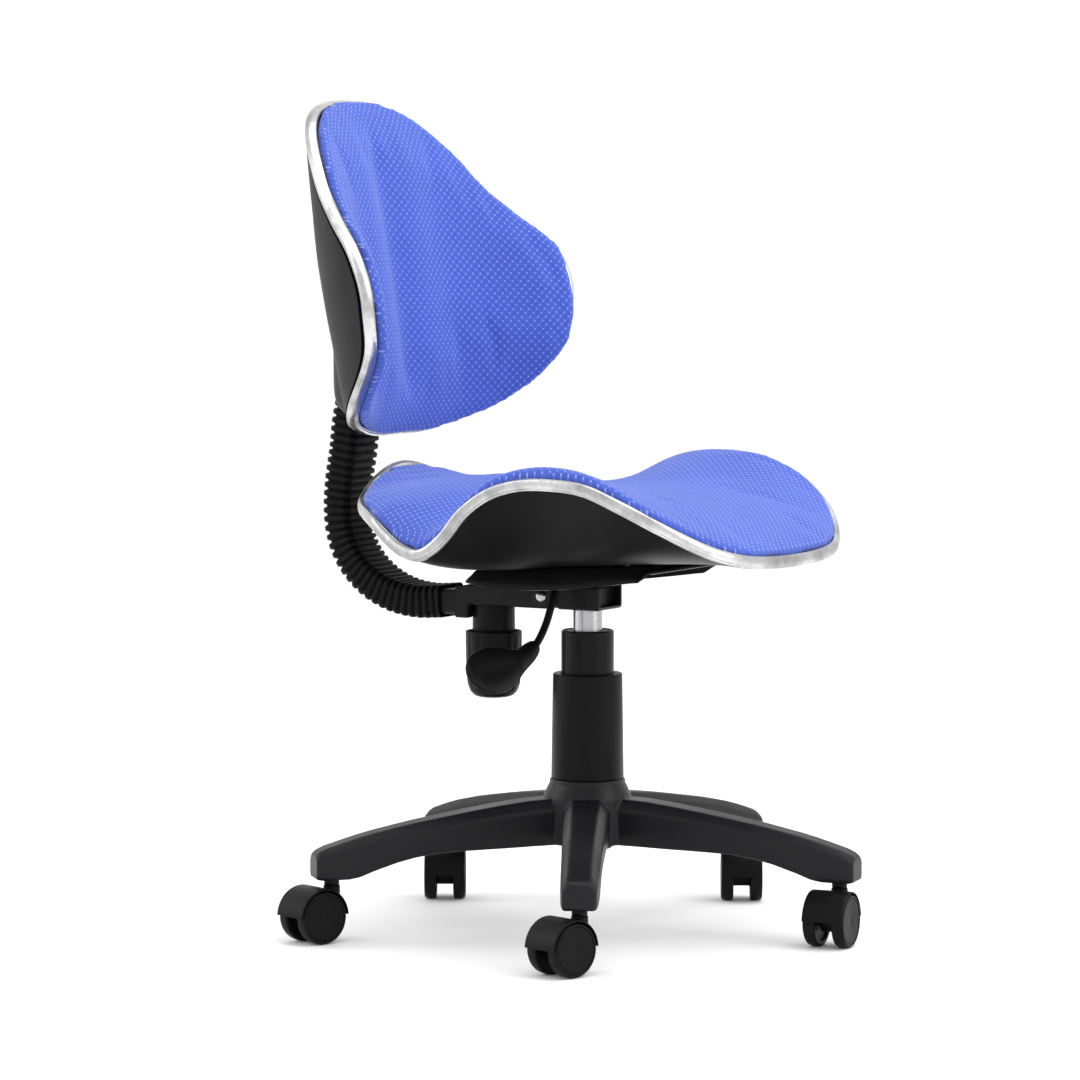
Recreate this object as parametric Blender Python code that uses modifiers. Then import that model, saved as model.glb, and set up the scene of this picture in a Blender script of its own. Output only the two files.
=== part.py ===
"""A swivel office chair: a five-star base on twin-wheel casters, a gas lift, a tilt mechanism,
a saddle seat and a wrapped backrest.

Metres, +Z up. The origin is on the floor under the column's axis, and the sitter faces -Y.
"""

import math

import bmesh
import bpy
import numpy as np
from mathutils import Matrix, Vector

GAP = 0.0003

# Base and casters
ARM_ANGLES = [math.radians(208.39 + 72 * n) for n in range(5)]
ARM_LENGTH = 0.268
STEM_CIRCLE = 0.250
STEM_RADIUS = 0.0055
STEM_HOLE = 0.0060
STEM_FOOT = 0.0370
STEM_TOP = 0.0860
STEM_COLLAR_RADIUS = 0.0072
HOOD_TOP = 0.0525
HUB_RADIUS = 0.041
HUB_COLLAR_RADIUS = 0.0355
HUB_LOW = 0.084
HUB_HIGH = 0.145
# Arm sections from the hub outwards: distance, underside, top, half width
ARM_SECTIONS = [
    (0.030, 0.0840, 0.1280, 0.0215),
    (0.090, 0.0820, 0.1225, 0.0205),
    (0.150, 0.0800, 0.1130, 0.0195),
    (0.190, 0.0725, 0.1055, 0.0185),
    (0.232, 0.0590, 0.0955, 0.0179),
    (0.260, 0.0580, 0.0870, 0.0172),
    (0.268, 0.0590, 0.0820, 0.0150),
]
WHEEL_RADIUS = 0.025
WHEEL_INNER = 0.0084
WHEEL_OUTER = 0.0203
WHEEL_STEPS = 16
AXLE_RADIUS = 0.0030
AXLE_HOLE = 0.0034
TRAIL = 0.022
HOOD_RADIUS = 0.0275
HOOD_POCKET = 0.0262
HOOD_HALF_WIDTH = 0.0198
WEB_HALF_WIDTH = 0.0080
WEB_RADIUS = 0.0110
# Swivel of each caster at rest, about its stem
CASTER_TURNS = [math.radians(a) for a in (-107, -83, -60, -60, -110)]

# Gas lift
TUBE_RADIUS = 0.025
TUBE_BORE = 0.0225
TUBE_LOW = 0.078
TUBE_HIGH = 0.286
COVER_HIGH = 0.245
COVER_LOW_RADIUS = 0.0345
COVER_HIGH_RADIUS = 0.0330
COVER_WALL = 0.002
CYLINDER_RADIUS = 0.014
CYLINDER_BORE = 0.0115
CYLINDER_LOW = 0.092
CYLINDER_HIGH = 0.322
ROD_RADIUS = 0.005
ROD_LOW = 0.071
PISTON_LOW = 0.212
PISTON_HIGH = 0.220
BUSH_LOW = 0.216
PIN_RADIUS = 0.0038
PIN_HOLE = 0.0043
PIN_LOW = 0.305
PIN_HIGH = 0.331
ROUND_STEPS = 24

# Tilt mechanism
PLATE_HALF_WIDTH = 0.060
PLATE_FLARE = 0.006
PLATE_FRONT = -0.098
PLATE_REAR = 0.090
PLATE_LOW = 0.3290
PLATE_HIGH = 0.3432
PLATE_WALL = 0.0025
BOLT_RADIUS = 0.0030
BOLT_HOLE = 0.0036
HOUSING_HALF_WIDTH = 0.024
HOUSING_FRONT = -0.025
HOUSING_REAR = 0.0215
HOUSING_LOW = 0.306
HOUSING_HIGH = 0.3302
PIVOT_Y = 0.035
PIVOT_Z = 0.318
PIVOT_RADIUS = 0.004
PIVOT_HOLE = 0.0045
LUG_INNER = 0.0244
LUG_OUTER = 0.0272
BRACKET_HALF_WIDTH = 0.024
KNOB_Y = 0.104
KNOB_LOW = 0.216
KNOB_HIGH = 0.280
KNOB_RADIUS = 0.027
KNOB_BORE = 0.0253
COLLAR_RADIUS = 0.0208
COLLAR_BORE = 0.0186
COLLAR_LOW = 0.279
TENSION_BOLT_RADIUS = 0.004
SPRING_RADIUS = 0.0130
SPRING_WIRE = 0.0016
SPRING_TURNS = 5
SPRING_STEPS = 8

# Back bar: the centre line of its 42 by 24 mm tube, as (y, z)
BAR_HALF_WIDTH = 0.021
BAR_HALF_DEPTH = 0.012
BAR_WALL = 0.002
BAR_LINE = [
    (0.1255, 0.3075), (0.150, 0.3075), (0.180, 0.3080), (0.205, 0.3125), (0.227, 0.3220),
    (0.245, 0.3360), (0.258, 0.3530), (0.265, 0.3730), (0.2668, 0.3950), (0.2650, 0.4200),
    (0.2600, 0.4500), (0.2570, 0.4800), (0.2503, 0.5100), (0.2446, 0.5400), (0.2445, 0.5600),
    (0.2523, 0.6050),
]
# The share of the tube's depth left at each point: it is flattened where it is bolted on
BAR_SHARES = [1.0] * 12 + [0.85, 0.65, 0.50, 0.50]
BELLOWS_FIRST = 1
BELLOWS_LAST = 11
BELLOWS_HALF_WIDTH = 0.0245
BELLOWS_HALF_DEPTH = 0.0140

# Seat: half of the trim's line from the front centre to the rear centre
SEAT_CENTRE = (0.0, -0.015)
SEAT_HALF = [
    (0.0000, -0.2190, 0.3615), (0.0550, -0.2180, 0.3630), (0.0920, -0.2125, 0.3670),
    (0.1200, -0.2010, 0.3745), (0.1440, -0.1860, 0.3860), (0.1650, -0.1650, 0.4010),
    (0.1780, -0.1370, 0.4175), (0.1800, -0.1000, 0.4320), (0.1760, -0.0600, 0.4355),
    (0.1730, -0.0250, 0.4335), (0.1740, 0.0050, 0.4245), (0.1780, 0.0300, 0.4065),
    (0.1815, 0.0500, 0.3820), (0.1820, 0.0720, 0.3670), (0.1780, 0.0930, 0.3695),
    (0.1700, 0.1150, 0.3795), (0.1560, 0.1400, 0.3930), (0.1270, 0.1710, 0.4030),
    (0.0900, 0.1920, 0.4100), (0.0510, 0.2010, 0.4250), (0.0000, 0.2070, 0.4350),
]
SEAT_DISH_Z = 0.391
SEAT_DISH_POWER = 2.2
SEAT_PAD_CROWN = 0.029
SEAT_PAD_HOLLOW = 0.020
SEAT_FLOOR_Z = 0.3437
SEAT_TILT = 0.062
SEAT_WALL_POWER = 4.0
SHELL_REACH = 0.978
BOARD_REACH = 0.85
TRIM_RADIUS = 0.0045
SHELL_WALL = 0.0025

# Backrest: half of its outline from the bottom to the top, as (x, z)
BACK_CENTRE_Z = 0.600
BACK_LOW_Z = 0.470
BACK_LOW_Y = 0.216
BACK_RECLINE = 0.1725
BACK_WRAP = 0.112
BACK_HALF_WIDTH = 0.186
BACK_WRAP_POWER = 2.8
BACK_HALF = [
    (0.0000, 0.4700), (0.0400, 0.4705), (0.0690, 0.4750), (0.1000, 0.4826), (0.1270, 0.4941),
    (0.1525, 0.5155), (0.1695, 0.5443), (0.1805, 0.5778), (0.1855, 0.6120), (0.1805, 0.6455),
    (0.1595, 0.6755), (0.1380, 0.7041), (0.1210, 0.7313), (0.0985, 0.7549), (0.0715, 0.7722),
    (0.0375, 0.7813), (0.0000, 0.7835),
]
BACK_PAD_CROWN = 0.030
BACK_SHELL_DEPTH = 0.0065
BACK_SHELL_POWER = 3.0
BACK_SPINE_DEPTH = 0.016
BACK_FOOT_DEPTH = 0.024

AROUND = 32


def clear_scene():
    for item in list(bpy.data.objects):
        bpy.data.objects.remove(item, do_unlink=True)
    for collection in list(bpy.data.collections):
        bpy.data.collections.remove(collection)


clear_scene()
CHAIR = bpy.data.collections.new("swivel_chair")
CUTTERS = bpy.data.collections.new("cutters")
bpy.context.scene.collection.children.link(CHAIR)
bpy.context.scene.collection.children.link(CUTTERS)


def material(name, color, roughness, metallic=0.0):
    made = bpy.data.materials.new(name)
    made.use_nodes = True
    shader = made.node_tree.nodes["Principled BSDF"]
    shader.inputs["Base Color"].default_value = (*color, 1.0)
    shader.inputs["Roughness"].default_value = roughness
    shader.inputs["Metallic"].default_value = metallic
    return made


NYLON = material("black_nylon", (0.020, 0.020, 0.023), 0.45)
SHELL_PLASTIC = material("shell_plastic", (0.012, 0.012, 0.013), 0.38)
STEEL_BLACK = material("black_steel", (0.016, 0.016, 0.017), 0.35, 0.3)
STEEL_BRIGHT = material("bright_steel", (0.62, 0.62, 0.63), 0.25, 1.0)
CHROME_TRIM = material("chrome_trim", (0.68, 0.68, 0.67), 0.22, 1.0)
RUBBER = material("black_rubber", (0.015, 0.015, 0.016), 0.65)
BOARD = material("inner_board", (0.035, 0.035, 0.037), 0.6)
FABRIC = material("blue_mesh_fabric", (0.045, 0.120, 0.640), 0.85)


def place(name, mesh, finish, parent=None, collection=None):
    item = bpy.data.objects.new(name, mesh)
    (collection or CHAIR).objects.link(item)
    item.parent = parent
    if finish:
        item.data.materials.clear()
        item.data.materials.append(finish)
    return item


def from_bmesh(name, made, finish, parent=None, collection=None, smooth=True):
    mesh = bpy.data.meshes.new(name)
    made.to_mesh(mesh)
    made.free()
    if smooth:
        mesh.shade_smooth()
        mesh.set_sharp_from_angle(angle=math.radians(35))
    return place(name, mesh, finish, parent, collection)


def empty(name, location, turn=0.0, parent=None):
    item = bpy.data.objects.new(name, None)
    CHAIR.objects.link(item)
    item.location = location
    item.rotation_euler = (0, 0, turn)
    item.parent = parent
    return item


def add_box(made, low, high):
    low = Vector(low)
    high = Vector(high)
    shape = Matrix.Translation((low + high) / 2) @ Matrix.Diagonal((*(high - low), 1))
    bmesh.ops.create_cube(made, size=1, matrix=shape)


def add_cylinder(made, radius, start, end, steps=16, end_radius=None):
    start = Vector(start)
    end = Vector(end)
    along = end - start
    turn = Vector((0, 0, 1)).rotation_difference(along).to_matrix().to_4x4()
    bmesh.ops.create_cone(
        made, cap_ends=True, segments=steps, radius1=radius,
        radius2=radius if end_radius is None else end_radius, depth=along.length,
        matrix=Matrix.Translation((start + end) / 2) @ turn,
    )


def box(name, low, high, finish=None, parent=None, collection=None):
    made = bmesh.new()
    add_box(made, low, high)
    return from_bmesh(name, made, finish, parent, collection, smooth=False)


def cylinder(name, radius, start, end, finish=None, steps=16, end_radius=None,
             parent=None, collection=None):
    made = bmesh.new()
    add_cylinder(made, radius, start, end, steps, end_radius)
    return from_bmesh(name, made, finish, parent, collection)


def settle(item):
    """Replaces the object's mesh with its evaluated one, and drops its modifiers."""
    bpy.context.view_layer.update()
    graph = bpy.context.evaluated_depsgraph_get()
    mesh = bpy.data.meshes.new_from_object(item.evaluated_get(graph))
    item.modifiers.clear()
    item.data = mesh
    return item


def combine(item, others, operation):
    """Cuts or joins the other objects, then removes them."""
    for other in others:
        step = item.modifiers.new("boolean", "BOOLEAN")
        step.operation = operation
        step.solver = "EXACT"
        step.object = other
        other.hide_render = True
        other.display_type = "WIRE"
        settle(item)
        bpy.data.objects.remove(other, do_unlink=True)
    return item


def cut(item, others):
    return combine(item, others, "DIFFERENCE")


def join(item, others):
    return combine(item, others, "UNION")


def drill(radius, start, end, steps=12):
    return cylinder("drill", radius, start, end, steps=steps, collection=CUTTERS)


def mill(low, high):
    return box("mill", low, high, collection=CUTTERS)


def turned(name, profile, finish, steps=ROUND_STEPS, parent=None, closed=True):
    """A solid turned about Z. The profile is (radius, z), down its outer side first."""
    made = bmesh.new()
    points = [made.verts.new((radius, 0, z)) for radius, z in profile]
    for a, b in zip(points, points[1:]):
        made.edges.new((a, b))
    if closed:
        made.edges.new((points[-1], points[0]))
    item = from_bmesh(name, made, finish, parent, smooth=False)
    screw = item.modifiers.new("turn", "SCREW")
    screw.steps = steps
    screw.render_steps = steps
    screw.use_merge_vertices = True
    screw.merge_threshold = 0.00001
    settle(item)
    item.data.shade_smooth()
    item.data.set_sharp_from_angle(angle=math.radians(35))
    return item


def bevel(item, width, segments=1, angle=40):
    step = item.modifiers.new("bevel", "BEVEL")
    step.width = width
    step.segments = segments
    step.limit_method = "ANGLE"
    step.angle_limit = math.radians(angle)
    return settle(item)


def loft(name, rings, finish, parent=None, cyclic=False, collection=None):
    """A closed solid through rings of equally many points."""
    made = bmesh.new()
    loops = [[made.verts.new(point) for point in ring] for ring in rings]
    count = len(loops[0])
    pairs = list(zip(loops, loops[1:]))
    if cyclic:
        pairs.append((loops[-1], loops[0]))
    for a, b in pairs:
        for n in range(count):
            made.faces.new((a[n], a[(n + 1) % count], b[(n + 1) % count], b[n]))
    if not cyclic:
        made.faces.new(list(reversed(loops[0])))
        made.faces.new(loops[-1])
    bmesh.ops.recalc_face_normals(made, faces=made.faces)
    return from_bmesh(name, made, finish, parent, collection)


def rod_along(name, points, radius, finish, resolution=1, cyclic=False, parent=None):
    """A round rod or ring along the points."""
    curve = bpy.data.curves.new(name, "CURVE")
    curve.dimensions = "3D"
    curve.bevel_depth = radius
    curve.bevel_resolution = resolution
    curve.use_fill_caps = True
    line = curve.splines.new("POLY")
    line.points.add(len(points) - 1)
    for knot, point in zip(line.points, points):
        knot.co = (*point, 1)
    line.use_cyclic_u = cyclic
    guide = bpy.data.objects.new("guide", curve)
    CUTTERS.objects.link(guide)
    bpy.context.view_layer.update()
    graph = bpy.context.evaluated_depsgraph_get()
    mesh = bpy.data.meshes.new_from_object(guide.evaluated_get(graph))
    bpy.data.objects.remove(guide, do_unlink=True)
    made = bmesh.new()
    made.from_mesh(mesh)
    bmesh.ops.remove_doubles(made, verts=made.verts, dist=0.00001)
    bmesh.ops.recalc_face_normals(made, faces=made.faces)
    return from_bmesh(name, made, finish, parent)


def closed_line(half):
    """A smooth closed line through half an outline and its mirror image in x = 0.

    Returns a function of t from 0 to 1, once around.
    """
    half = [np.array(point) for point in half]
    mirror = np.ones(len(half[0]))
    mirror[0] = -1
    knots = np.array(half + [point * mirror for point in half[-2:0:-1]])
    after = np.roll(knots, -1, axis=0)
    lengths = np.linalg.norm(after - knots, axis=1)
    before_lengths = np.roll(lengths, 1)
    slopes = (after - np.roll(knots, 1, axis=0)) / (lengths + before_lengths)[:, None]
    starts = np.concatenate([[0], np.cumsum(lengths)])

    def at(t):
        s = (t % 1.0) * starts[-1]
        n = min(int(np.searchsorted(starts, s, side="right")) - 1, len(knots) - 1)
        m = (n + 1) % len(knots)
        u = (s - starts[n]) / lengths[n]
        rise = slopes[n] * lengths[n]
        fall = slopes[m] * lengths[n]
        return (
            knots[n] * (2 * u**3 - 3 * u**2 + 1) + rise * (u**3 - 2 * u**2 + u)
            + knots[m] * (3 * u**2 - 2 * u**3) + fall * (u**3 - u**2)
        )

    return at


SEAT_LINE = closed_line(SEAT_HALF)
BACK_LINE = closed_line(BACK_HALF)


def round_form(name, rings, place_point, finish, half=None):
    """A sphere whose points go where place_point(t, reach, height) says.

    t runs once around, reach from the centre 0 to the rim 1, and height is the sphere's own.
    half keeps the lower half only, as an open bowl.
    """
    made = bmesh.new()
    bmesh.ops.create_uvsphere(made, u_segments=AROUND, v_segments=2 * rings, radius=1)
    if half:
        upper = [v for v in made.verts if v.co.z > 0.0001]
        bmesh.ops.delete(made, geom=upper, context="VERTS")
    for vertex in made.verts:
        x, y, z = vertex.co
        t = math.atan2(y, x) / math.tau % 1.0
        vertex.co = place_point(t, min(math.hypot(x, y), 1.0), z)
    return from_bmesh(name, made, finish)


def thicken(item, wall, offset):
    step = item.modifiers.new("wall", "SOLIDIFY")
    step.thickness = wall
    step.offset = offset
    step.use_even_offset = False
    return settle(item)


# ---------------------------------------------------------------- base and casters


def arm_ring(distance, low, high, half):
    """A section across an arm, chamfered on its top edges, along +X before it is turned."""
    chamfer = 0.35 * half
    drop = 0.18 * (high - low)
    return [
        (distance, -half * 0.92, low),
        (distance, half * 0.92, low),
        (distance, half, low + drop),
        (distance, half, high - 1.3 * drop),
        (distance, half - chamfer, high),
        (distance, chamfer - half, high),
        (distance, -half, high - 1.3 * drop),
        (distance, -half, low + drop),
    ]


def make_base():
    base = turned(
        "base_star",
        [
            (0.0256, HUB_HIGH), (HUB_COLLAR_RADIUS, HUB_HIGH), (HUB_COLLAR_RADIUS, 0.1400),
            (HUB_RADIUS, 0.1300), (HUB_RADIUS + 0.003, HUB_LOW), (0.0256, HUB_LOW),
        ],
        NYLON,
    )
    arms = []
    for angle in ARM_ANGLES:
        arm = loft("arm", [arm_ring(*s) for s in ARM_SECTIONS], None, collection=CUTTERS)
        arm.rotation_euler = (0, 0, angle)
        arms.append(arm)
    join(base, arms)
    cut(base, [drill(0.0256, (0, 0, 0.05), (0, 0, 0.2), ROUND_STEPS)])
    holes = []
    for angle in ARM_ANGLES:
        x = STEM_CIRCLE * math.cos(angle)
        y = STEM_CIRCLE * math.sin(angle)
        holes.append(drill(STEM_HOLE, (x, y, 0.05), (x, y, STEM_TOP - 0.004)))
    cut(base, holes)
    return base


def hood_mesh():
    """A caster's hood, its stem on the z axis and its axle along x, behind the stem."""
    middle = WHEEL_RADIUS
    hood = cylinder(
        "hood", HOOD_RADIUS, (-HOOD_HALF_WIDTH, -TRAIL, middle),
        (HOOD_HALF_WIDTH, -TRAIL, middle), steps=20, collection=CUTTERS,
    )
    pockets = [
        drill(HOOD_POCKET, (side * WEB_HALF_WIDTH, -TRAIL, middle),
              (side * 0.03, -TRAIL, middle), 20)
        for side in (-1, 1)
    ]
    cut(hood, [*pockets, mill((-0.05, -0.1, -0.02), (0.05, 0.1, middle + 0.0015))])
    web = cylinder(
        "web", WEB_RADIUS, (-WEB_HALF_WIDTH, -TRAIL, middle), (WEB_HALF_WIDTH, -TRAIL, middle),
        steps=12, collection=CUTTERS,
    )
    boss = cylinder("boss", 0.0078, (0, 0, 0.0345), (0, 0, HOOD_TOP), steps=12,
                    collection=CUTTERS)
    join(hood, [web, boss])
    cut(hood, [
        drill(STEM_HOLE, (0, 0, STEM_FOOT - 0.0006), (0, 0, 0.06)),
        drill(AXLE_HOLE, (-0.03, -TRAIL, middle), (0.03, -TRAIL, middle)),
    ])
    mesh = hood.data
    bpy.data.objects.remove(hood, do_unlink=True)
    return mesh


def wheel_mesh():
    """A caster wheel about z, its inner face low, with a flat of its tread at +y and -y."""
    flat = WHEEL_RADIUS / math.cos(math.pi / WHEEL_STEPS)
    width = WHEEL_OUTER - WHEEL_INNER
    wheel = turned(
        "wheel",
        [
            (AXLE_HOLE, width - 0.0018), (0.0150, width - 0.0010), (0.0225, width),
            (flat, width - 0.0030), (flat, 0), (AXLE_HOLE, 0),
        ],
        None, WHEEL_STEPS,
    )
    wheel.data.transform(Matrix.Rotation(math.pi / WHEEL_STEPS, 4, "Z"))
    mesh = wheel.data
    bpy.data.objects.remove(wheel, do_unlink=True)
    return mesh


def make_casters():
    hood = hood_mesh()
    wheel = wheel_mesh()
    for n, (angle, turn) in enumerate(zip(ARM_ANGLES, CASTER_TURNS), start=1):
        place_at = (STEM_CIRCLE * math.cos(angle), STEM_CIRCLE * math.sin(angle), 0)
        pivot = empty(f"caster_pivot_{n}", place_at, turn)
        stem = turned(
            f"caster_stem_{n}",
            [
                (0, STEM_TOP - 0.005), (STEM_RADIUS, STEM_TOP - 0.006),
                (STEM_RADIUS, 0.0576), (STEM_COLLAR_RADIUS, 0.0576),
                (STEM_COLLAR_RADIUS, HOOD_TOP + GAP), (STEM_RADIUS, HOOD_TOP + GAP),
                (STEM_RADIUS, STEM_FOOT), (0, STEM_FOOT),
            ],
            STEEL_BRIGHT, 8, closed=False,
        )
        stem.location = place_at
        place(f"caster_hood_{n}", hood, NYLON, pivot)
        cylinder(
            f"caster_axle_{n}", AXLE_RADIUS, (-0.0175, -TRAIL, WHEEL_RADIUS),
            (0.0175, -TRAIL, WHEEL_RADIUS), STEEL_BRIGHT, 8, parent=pivot,
        )
        for side, word in ((-1, "left"), (1, "right")):
            made = place(f"caster_wheel_{word}_{n}", wheel, NYLON, pivot)
            made.location = (side * WHEEL_INNER, -TRAIL, WHEEL_RADIUS)
            made.rotation_euler = (0, side * math.pi / 2, 0)


# ---------------------------------------------------------------- gas lift


def make_gas_lift():
    turned(
        "column_cover",
        [
            (COVER_HIGH_RADIUS - 0.001, COVER_HIGH), (COVER_HIGH_RADIUS, COVER_HIGH - 0.001),
            (COVER_LOW_RADIUS, HUB_HIGH + GAP), (COVER_LOW_RADIUS - COVER_WALL, HUB_HIGH + GAP),
            (COVER_HIGH_RADIUS - COVER_WALL, COVER_HIGH - COVER_WALL),
            (TUBE_RADIUS + 0.0006, COVER_HIGH - COVER_WALL), (TUBE_RADIUS + 0.0006, COVER_HIGH),
        ],
        NYLON,
    )
    turned(
        "gas_tube",
        [
            (TUBE_RADIUS - 0.001, TUBE_HIGH), (TUBE_RADIUS, TUBE_HIGH - 0.001),
            (TUBE_RADIUS, TUBE_LOW + 0.002), (TUBE_RADIUS - 0.002, TUBE_LOW),
            (ROD_RADIUS + 0.0006, TUBE_LOW), (ROD_RADIUS + 0.0006, TUBE_LOW + 0.003),
            (TUBE_BORE, TUBE_LOW + 0.003), (TUBE_BORE, TUBE_HIGH),
        ],
        STEEL_BLACK,
    )
    turned(
        "guide_bush",
        [
            (TUBE_BORE - 0.0005, TUBE_HIGH - 0.001), (TUBE_BORE - 0.0005, BUSH_LOW),
            (CYLINDER_RADIUS + 0.0004, BUSH_LOW), (CYLINDER_RADIUS + 0.0004, TUBE_HIGH - 0.001),
        ],
        NYLON,
    )
    turned(
        "gas_cylinder",
        [
            (CYLINDER_RADIUS, CYLINDER_HIGH), (CYLINDER_RADIUS, CYLINDER_LOW),
            (ROD_RADIUS + 0.0006, CYLINDER_LOW), (ROD_RADIUS + 0.0006, CYLINDER_LOW + 0.005),
            (CYLINDER_BORE, CYLINDER_LOW + 0.005), (CYLINDER_BORE, CYLINDER_HIGH - 0.006),
            (PIN_HOLE, CYLINDER_HIGH - 0.006), (PIN_HOLE, CYLINDER_HIGH),
        ],
        STEEL_BRIGHT,
    )
    turned(
        "piston_rod",
        [
            (0, PISTON_HIGH), (CYLINDER_BORE - 0.0005, PISTON_HIGH),
            (CYLINDER_BORE - 0.0005, PISTON_LOW), (ROD_RADIUS, PISTON_LOW),
            (ROD_RADIUS, 0.0900), (0.0090, 0.0900), (0.0090, 0.0873), (ROD_RADIUS, 0.0873),
            (ROD_RADIUS, 0.0760), (0.0040, 0.0760), (0.0040, 0.0735), (ROD_RADIUS, 0.0735),
            (ROD_RADIUS, ROD_LOW), (0, ROD_LOW),
        ],
        STEEL_BRIGHT, 16, closed=False,
    )
    turned(
        "thrust_bearing",
        [(0.0150, 0.0870), (0.0150, 0.0813), (0.0056, 0.0813), (0.0056, 0.0870)],
        STEEL_BRIGHT, 16,
    )
    turned(
        "retaining_clip",
        [(0.0090, 0.0757), (0.0090, 0.0738), (0.0045, 0.0738), (0.0045, 0.0757)],
        STEEL_BRIGHT, 16,
    )
    turned(
        "release_pin",
        [(0, PIN_HIGH), (PIN_RADIUS, PIN_HIGH), (PIN_RADIUS, PIN_LOW), (0, PIN_LOW)],
        STEEL_BRIGHT, 12, closed=False,
    )


# ---------------------------------------------------------------- tilt mechanism


def rise(y):
    """How much higher the seat's tilted underside is here than at the tray's rear end."""
    return SEAT_TILT * (PLATE_REAR - y)


def tray_ring(z, spread):
    half = PLATE_HALF_WIDTH + spread
    front = PLATE_FRONT - spread
    rear = PLATE_REAR + spread
    return [
        (-half, front, z + rise(front)), (half, front, z + rise(front)),
        (half, rear, z + rise(rear)), (-half, rear, z + rise(rear)),
    ]


SEAT_BOLTS = [(x, y) for x in (-0.045, 0.045) for y in (-0.070, 0.070)]


def bolt_hole(x, y):
    z = PLATE_HIGH + rise(y)
    return drill(BOLT_HOLE, (x, y, z - 0.010), (x, y, z + 0.009), 8)


def make_seat_plate():
    plate = loft(
        "seat_plate", [tray_ring(PLATE_LOW, PLATE_FLARE), tray_ring(PLATE_HIGH, 0)], STEEL_BLACK
    )
    bevel(plate, 0.004, 2, 60)
    wall = PLATE_WALL
    hollow = loft(
        "hollow",
        [tray_ring(PLATE_LOW - 0.010, PLATE_FLARE - wall + 0.004),
         tray_ring(PLATE_HIGH - wall, -wall)],
        None, collection=CUTTERS,
    )
    cut(plate, [hollow])
    lugs = [
        box("lug", (min(side * LUG_INNER, side * LUG_OUTER), PIVOT_Y - 0.010, 0.309),
            (max(side * LUG_INNER, side * LUG_OUTER), PIVOT_Y + 0.010, PLATE_HIGH + 0.0023),
            collection=CUTTERS)
        for side in (-1, 1)
    ]
    join(plate, lugs)
    cut(plate, [drill(PIVOT_HOLE, (-0.04, PIVOT_Y, PIVOT_Z), (0.04, PIVOT_Y, PIVOT_Z))])
    cut(plate, [bolt_hole(x, y) for x, y in SEAT_BOLTS])
    return plate


def make_housing():
    """The socket that clamps the gas cylinder, with the lever's saddle on its top."""
    housing = box(
        "lift_housing", (-HOUSING_HALF_WIDTH, HOUSING_FRONT, HOUSING_LOW),
        (HOUSING_HALF_WIDTH, HOUSING_REAR, HOUSING_HIGH), STEEL_BLACK,
    )
    bevel(housing, 0.003, 2)
    saddle = box("saddle", (-0.0235, -0.004, HOUSING_HIGH - 0.002), (-0.0155, 0.016, 0.3445),
                 collection=CUTTERS)
    join(housing, [saddle])
    cut(housing, [
        mill((-0.0190, -0.030, 0.3090), (0.0190, -0.0165, 0.3272)),
        drill(CYLINDER_RADIUS + 0.0006, (0, 0, 0.30), (0, 0, 0.34), ROUND_STEPS),
        drill(0.0048, (-0.050, 0.0088, 0.3360), (0.000, 0.0010, 0.3360), 12),
    ])
    return housing


def make_tilt_bracket():
    """The arm that the back bar is welded into, pivoting on the bolt at its front."""
    outline = [
        (PIVOT_Y - 0.0085, HOUSING_LOW), (0.1190, HOUSING_LOW), (0.1190, 0.2930),
        (0.1340, 0.2930), (0.1340, 0.3222), (0.1190, 0.3255), (PIVOT_Y - 0.0085, 0.3285),
    ]
    width = BRACKET_HALF_WIDTH
    bracket = loft(
        "tilt_bracket", [[(x, y, z) for y, z in outline] for x in (-width, width)], STEEL_BLACK
    )
    bevel(bracket, 0.0015, 1, 50)
    cut(bracket, [
        mill((-0.0214, BAR_LINE[0][0] - 0.0005, 0.2951), (0.0214, 0.14, 0.3199)),
        drill(COLLAR_RADIUS + 0.0005, (0, KNOB_Y, 0.28), (0, KNOB_Y, HOUSING_LOW), 24),
        drill(PIVOT_HOLE, (-0.04, PIVOT_Y, PIVOT_Z), (0.04, PIVOT_Y, PIVOT_Z)),
        drill(0.0068, (0, KNOB_Y, 0.29), (0, KNOB_Y, 0.34)),
    ])
    return bracket


def make_pivot_bolt():
    """A shoulder bolt through the lugs, with a domed head at each end."""
    bolt = turned(
        "pivot_bolt",
        [
            (0, 0.0312), (0.0032, 0.0308), (0.0056, 0.0290), (0.0056, LUG_OUTER + GAP),
            (PIVOT_RADIUS, LUG_OUTER + GAP), (PIVOT_RADIUS, -LUG_OUTER - GAP),
            (0.0056, -LUG_OUTER - GAP), (0.0056, -0.0290), (0.0032, -0.0308), (0, -0.0312),
        ],
        STEEL_BRIGHT, 12, closed=False,
    )
    bolt.rotation_euler = (0, math.pi / 2, 0)
    bolt.location = (0, PIVOT_Y, PIVOT_Z)
    return bolt


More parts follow.
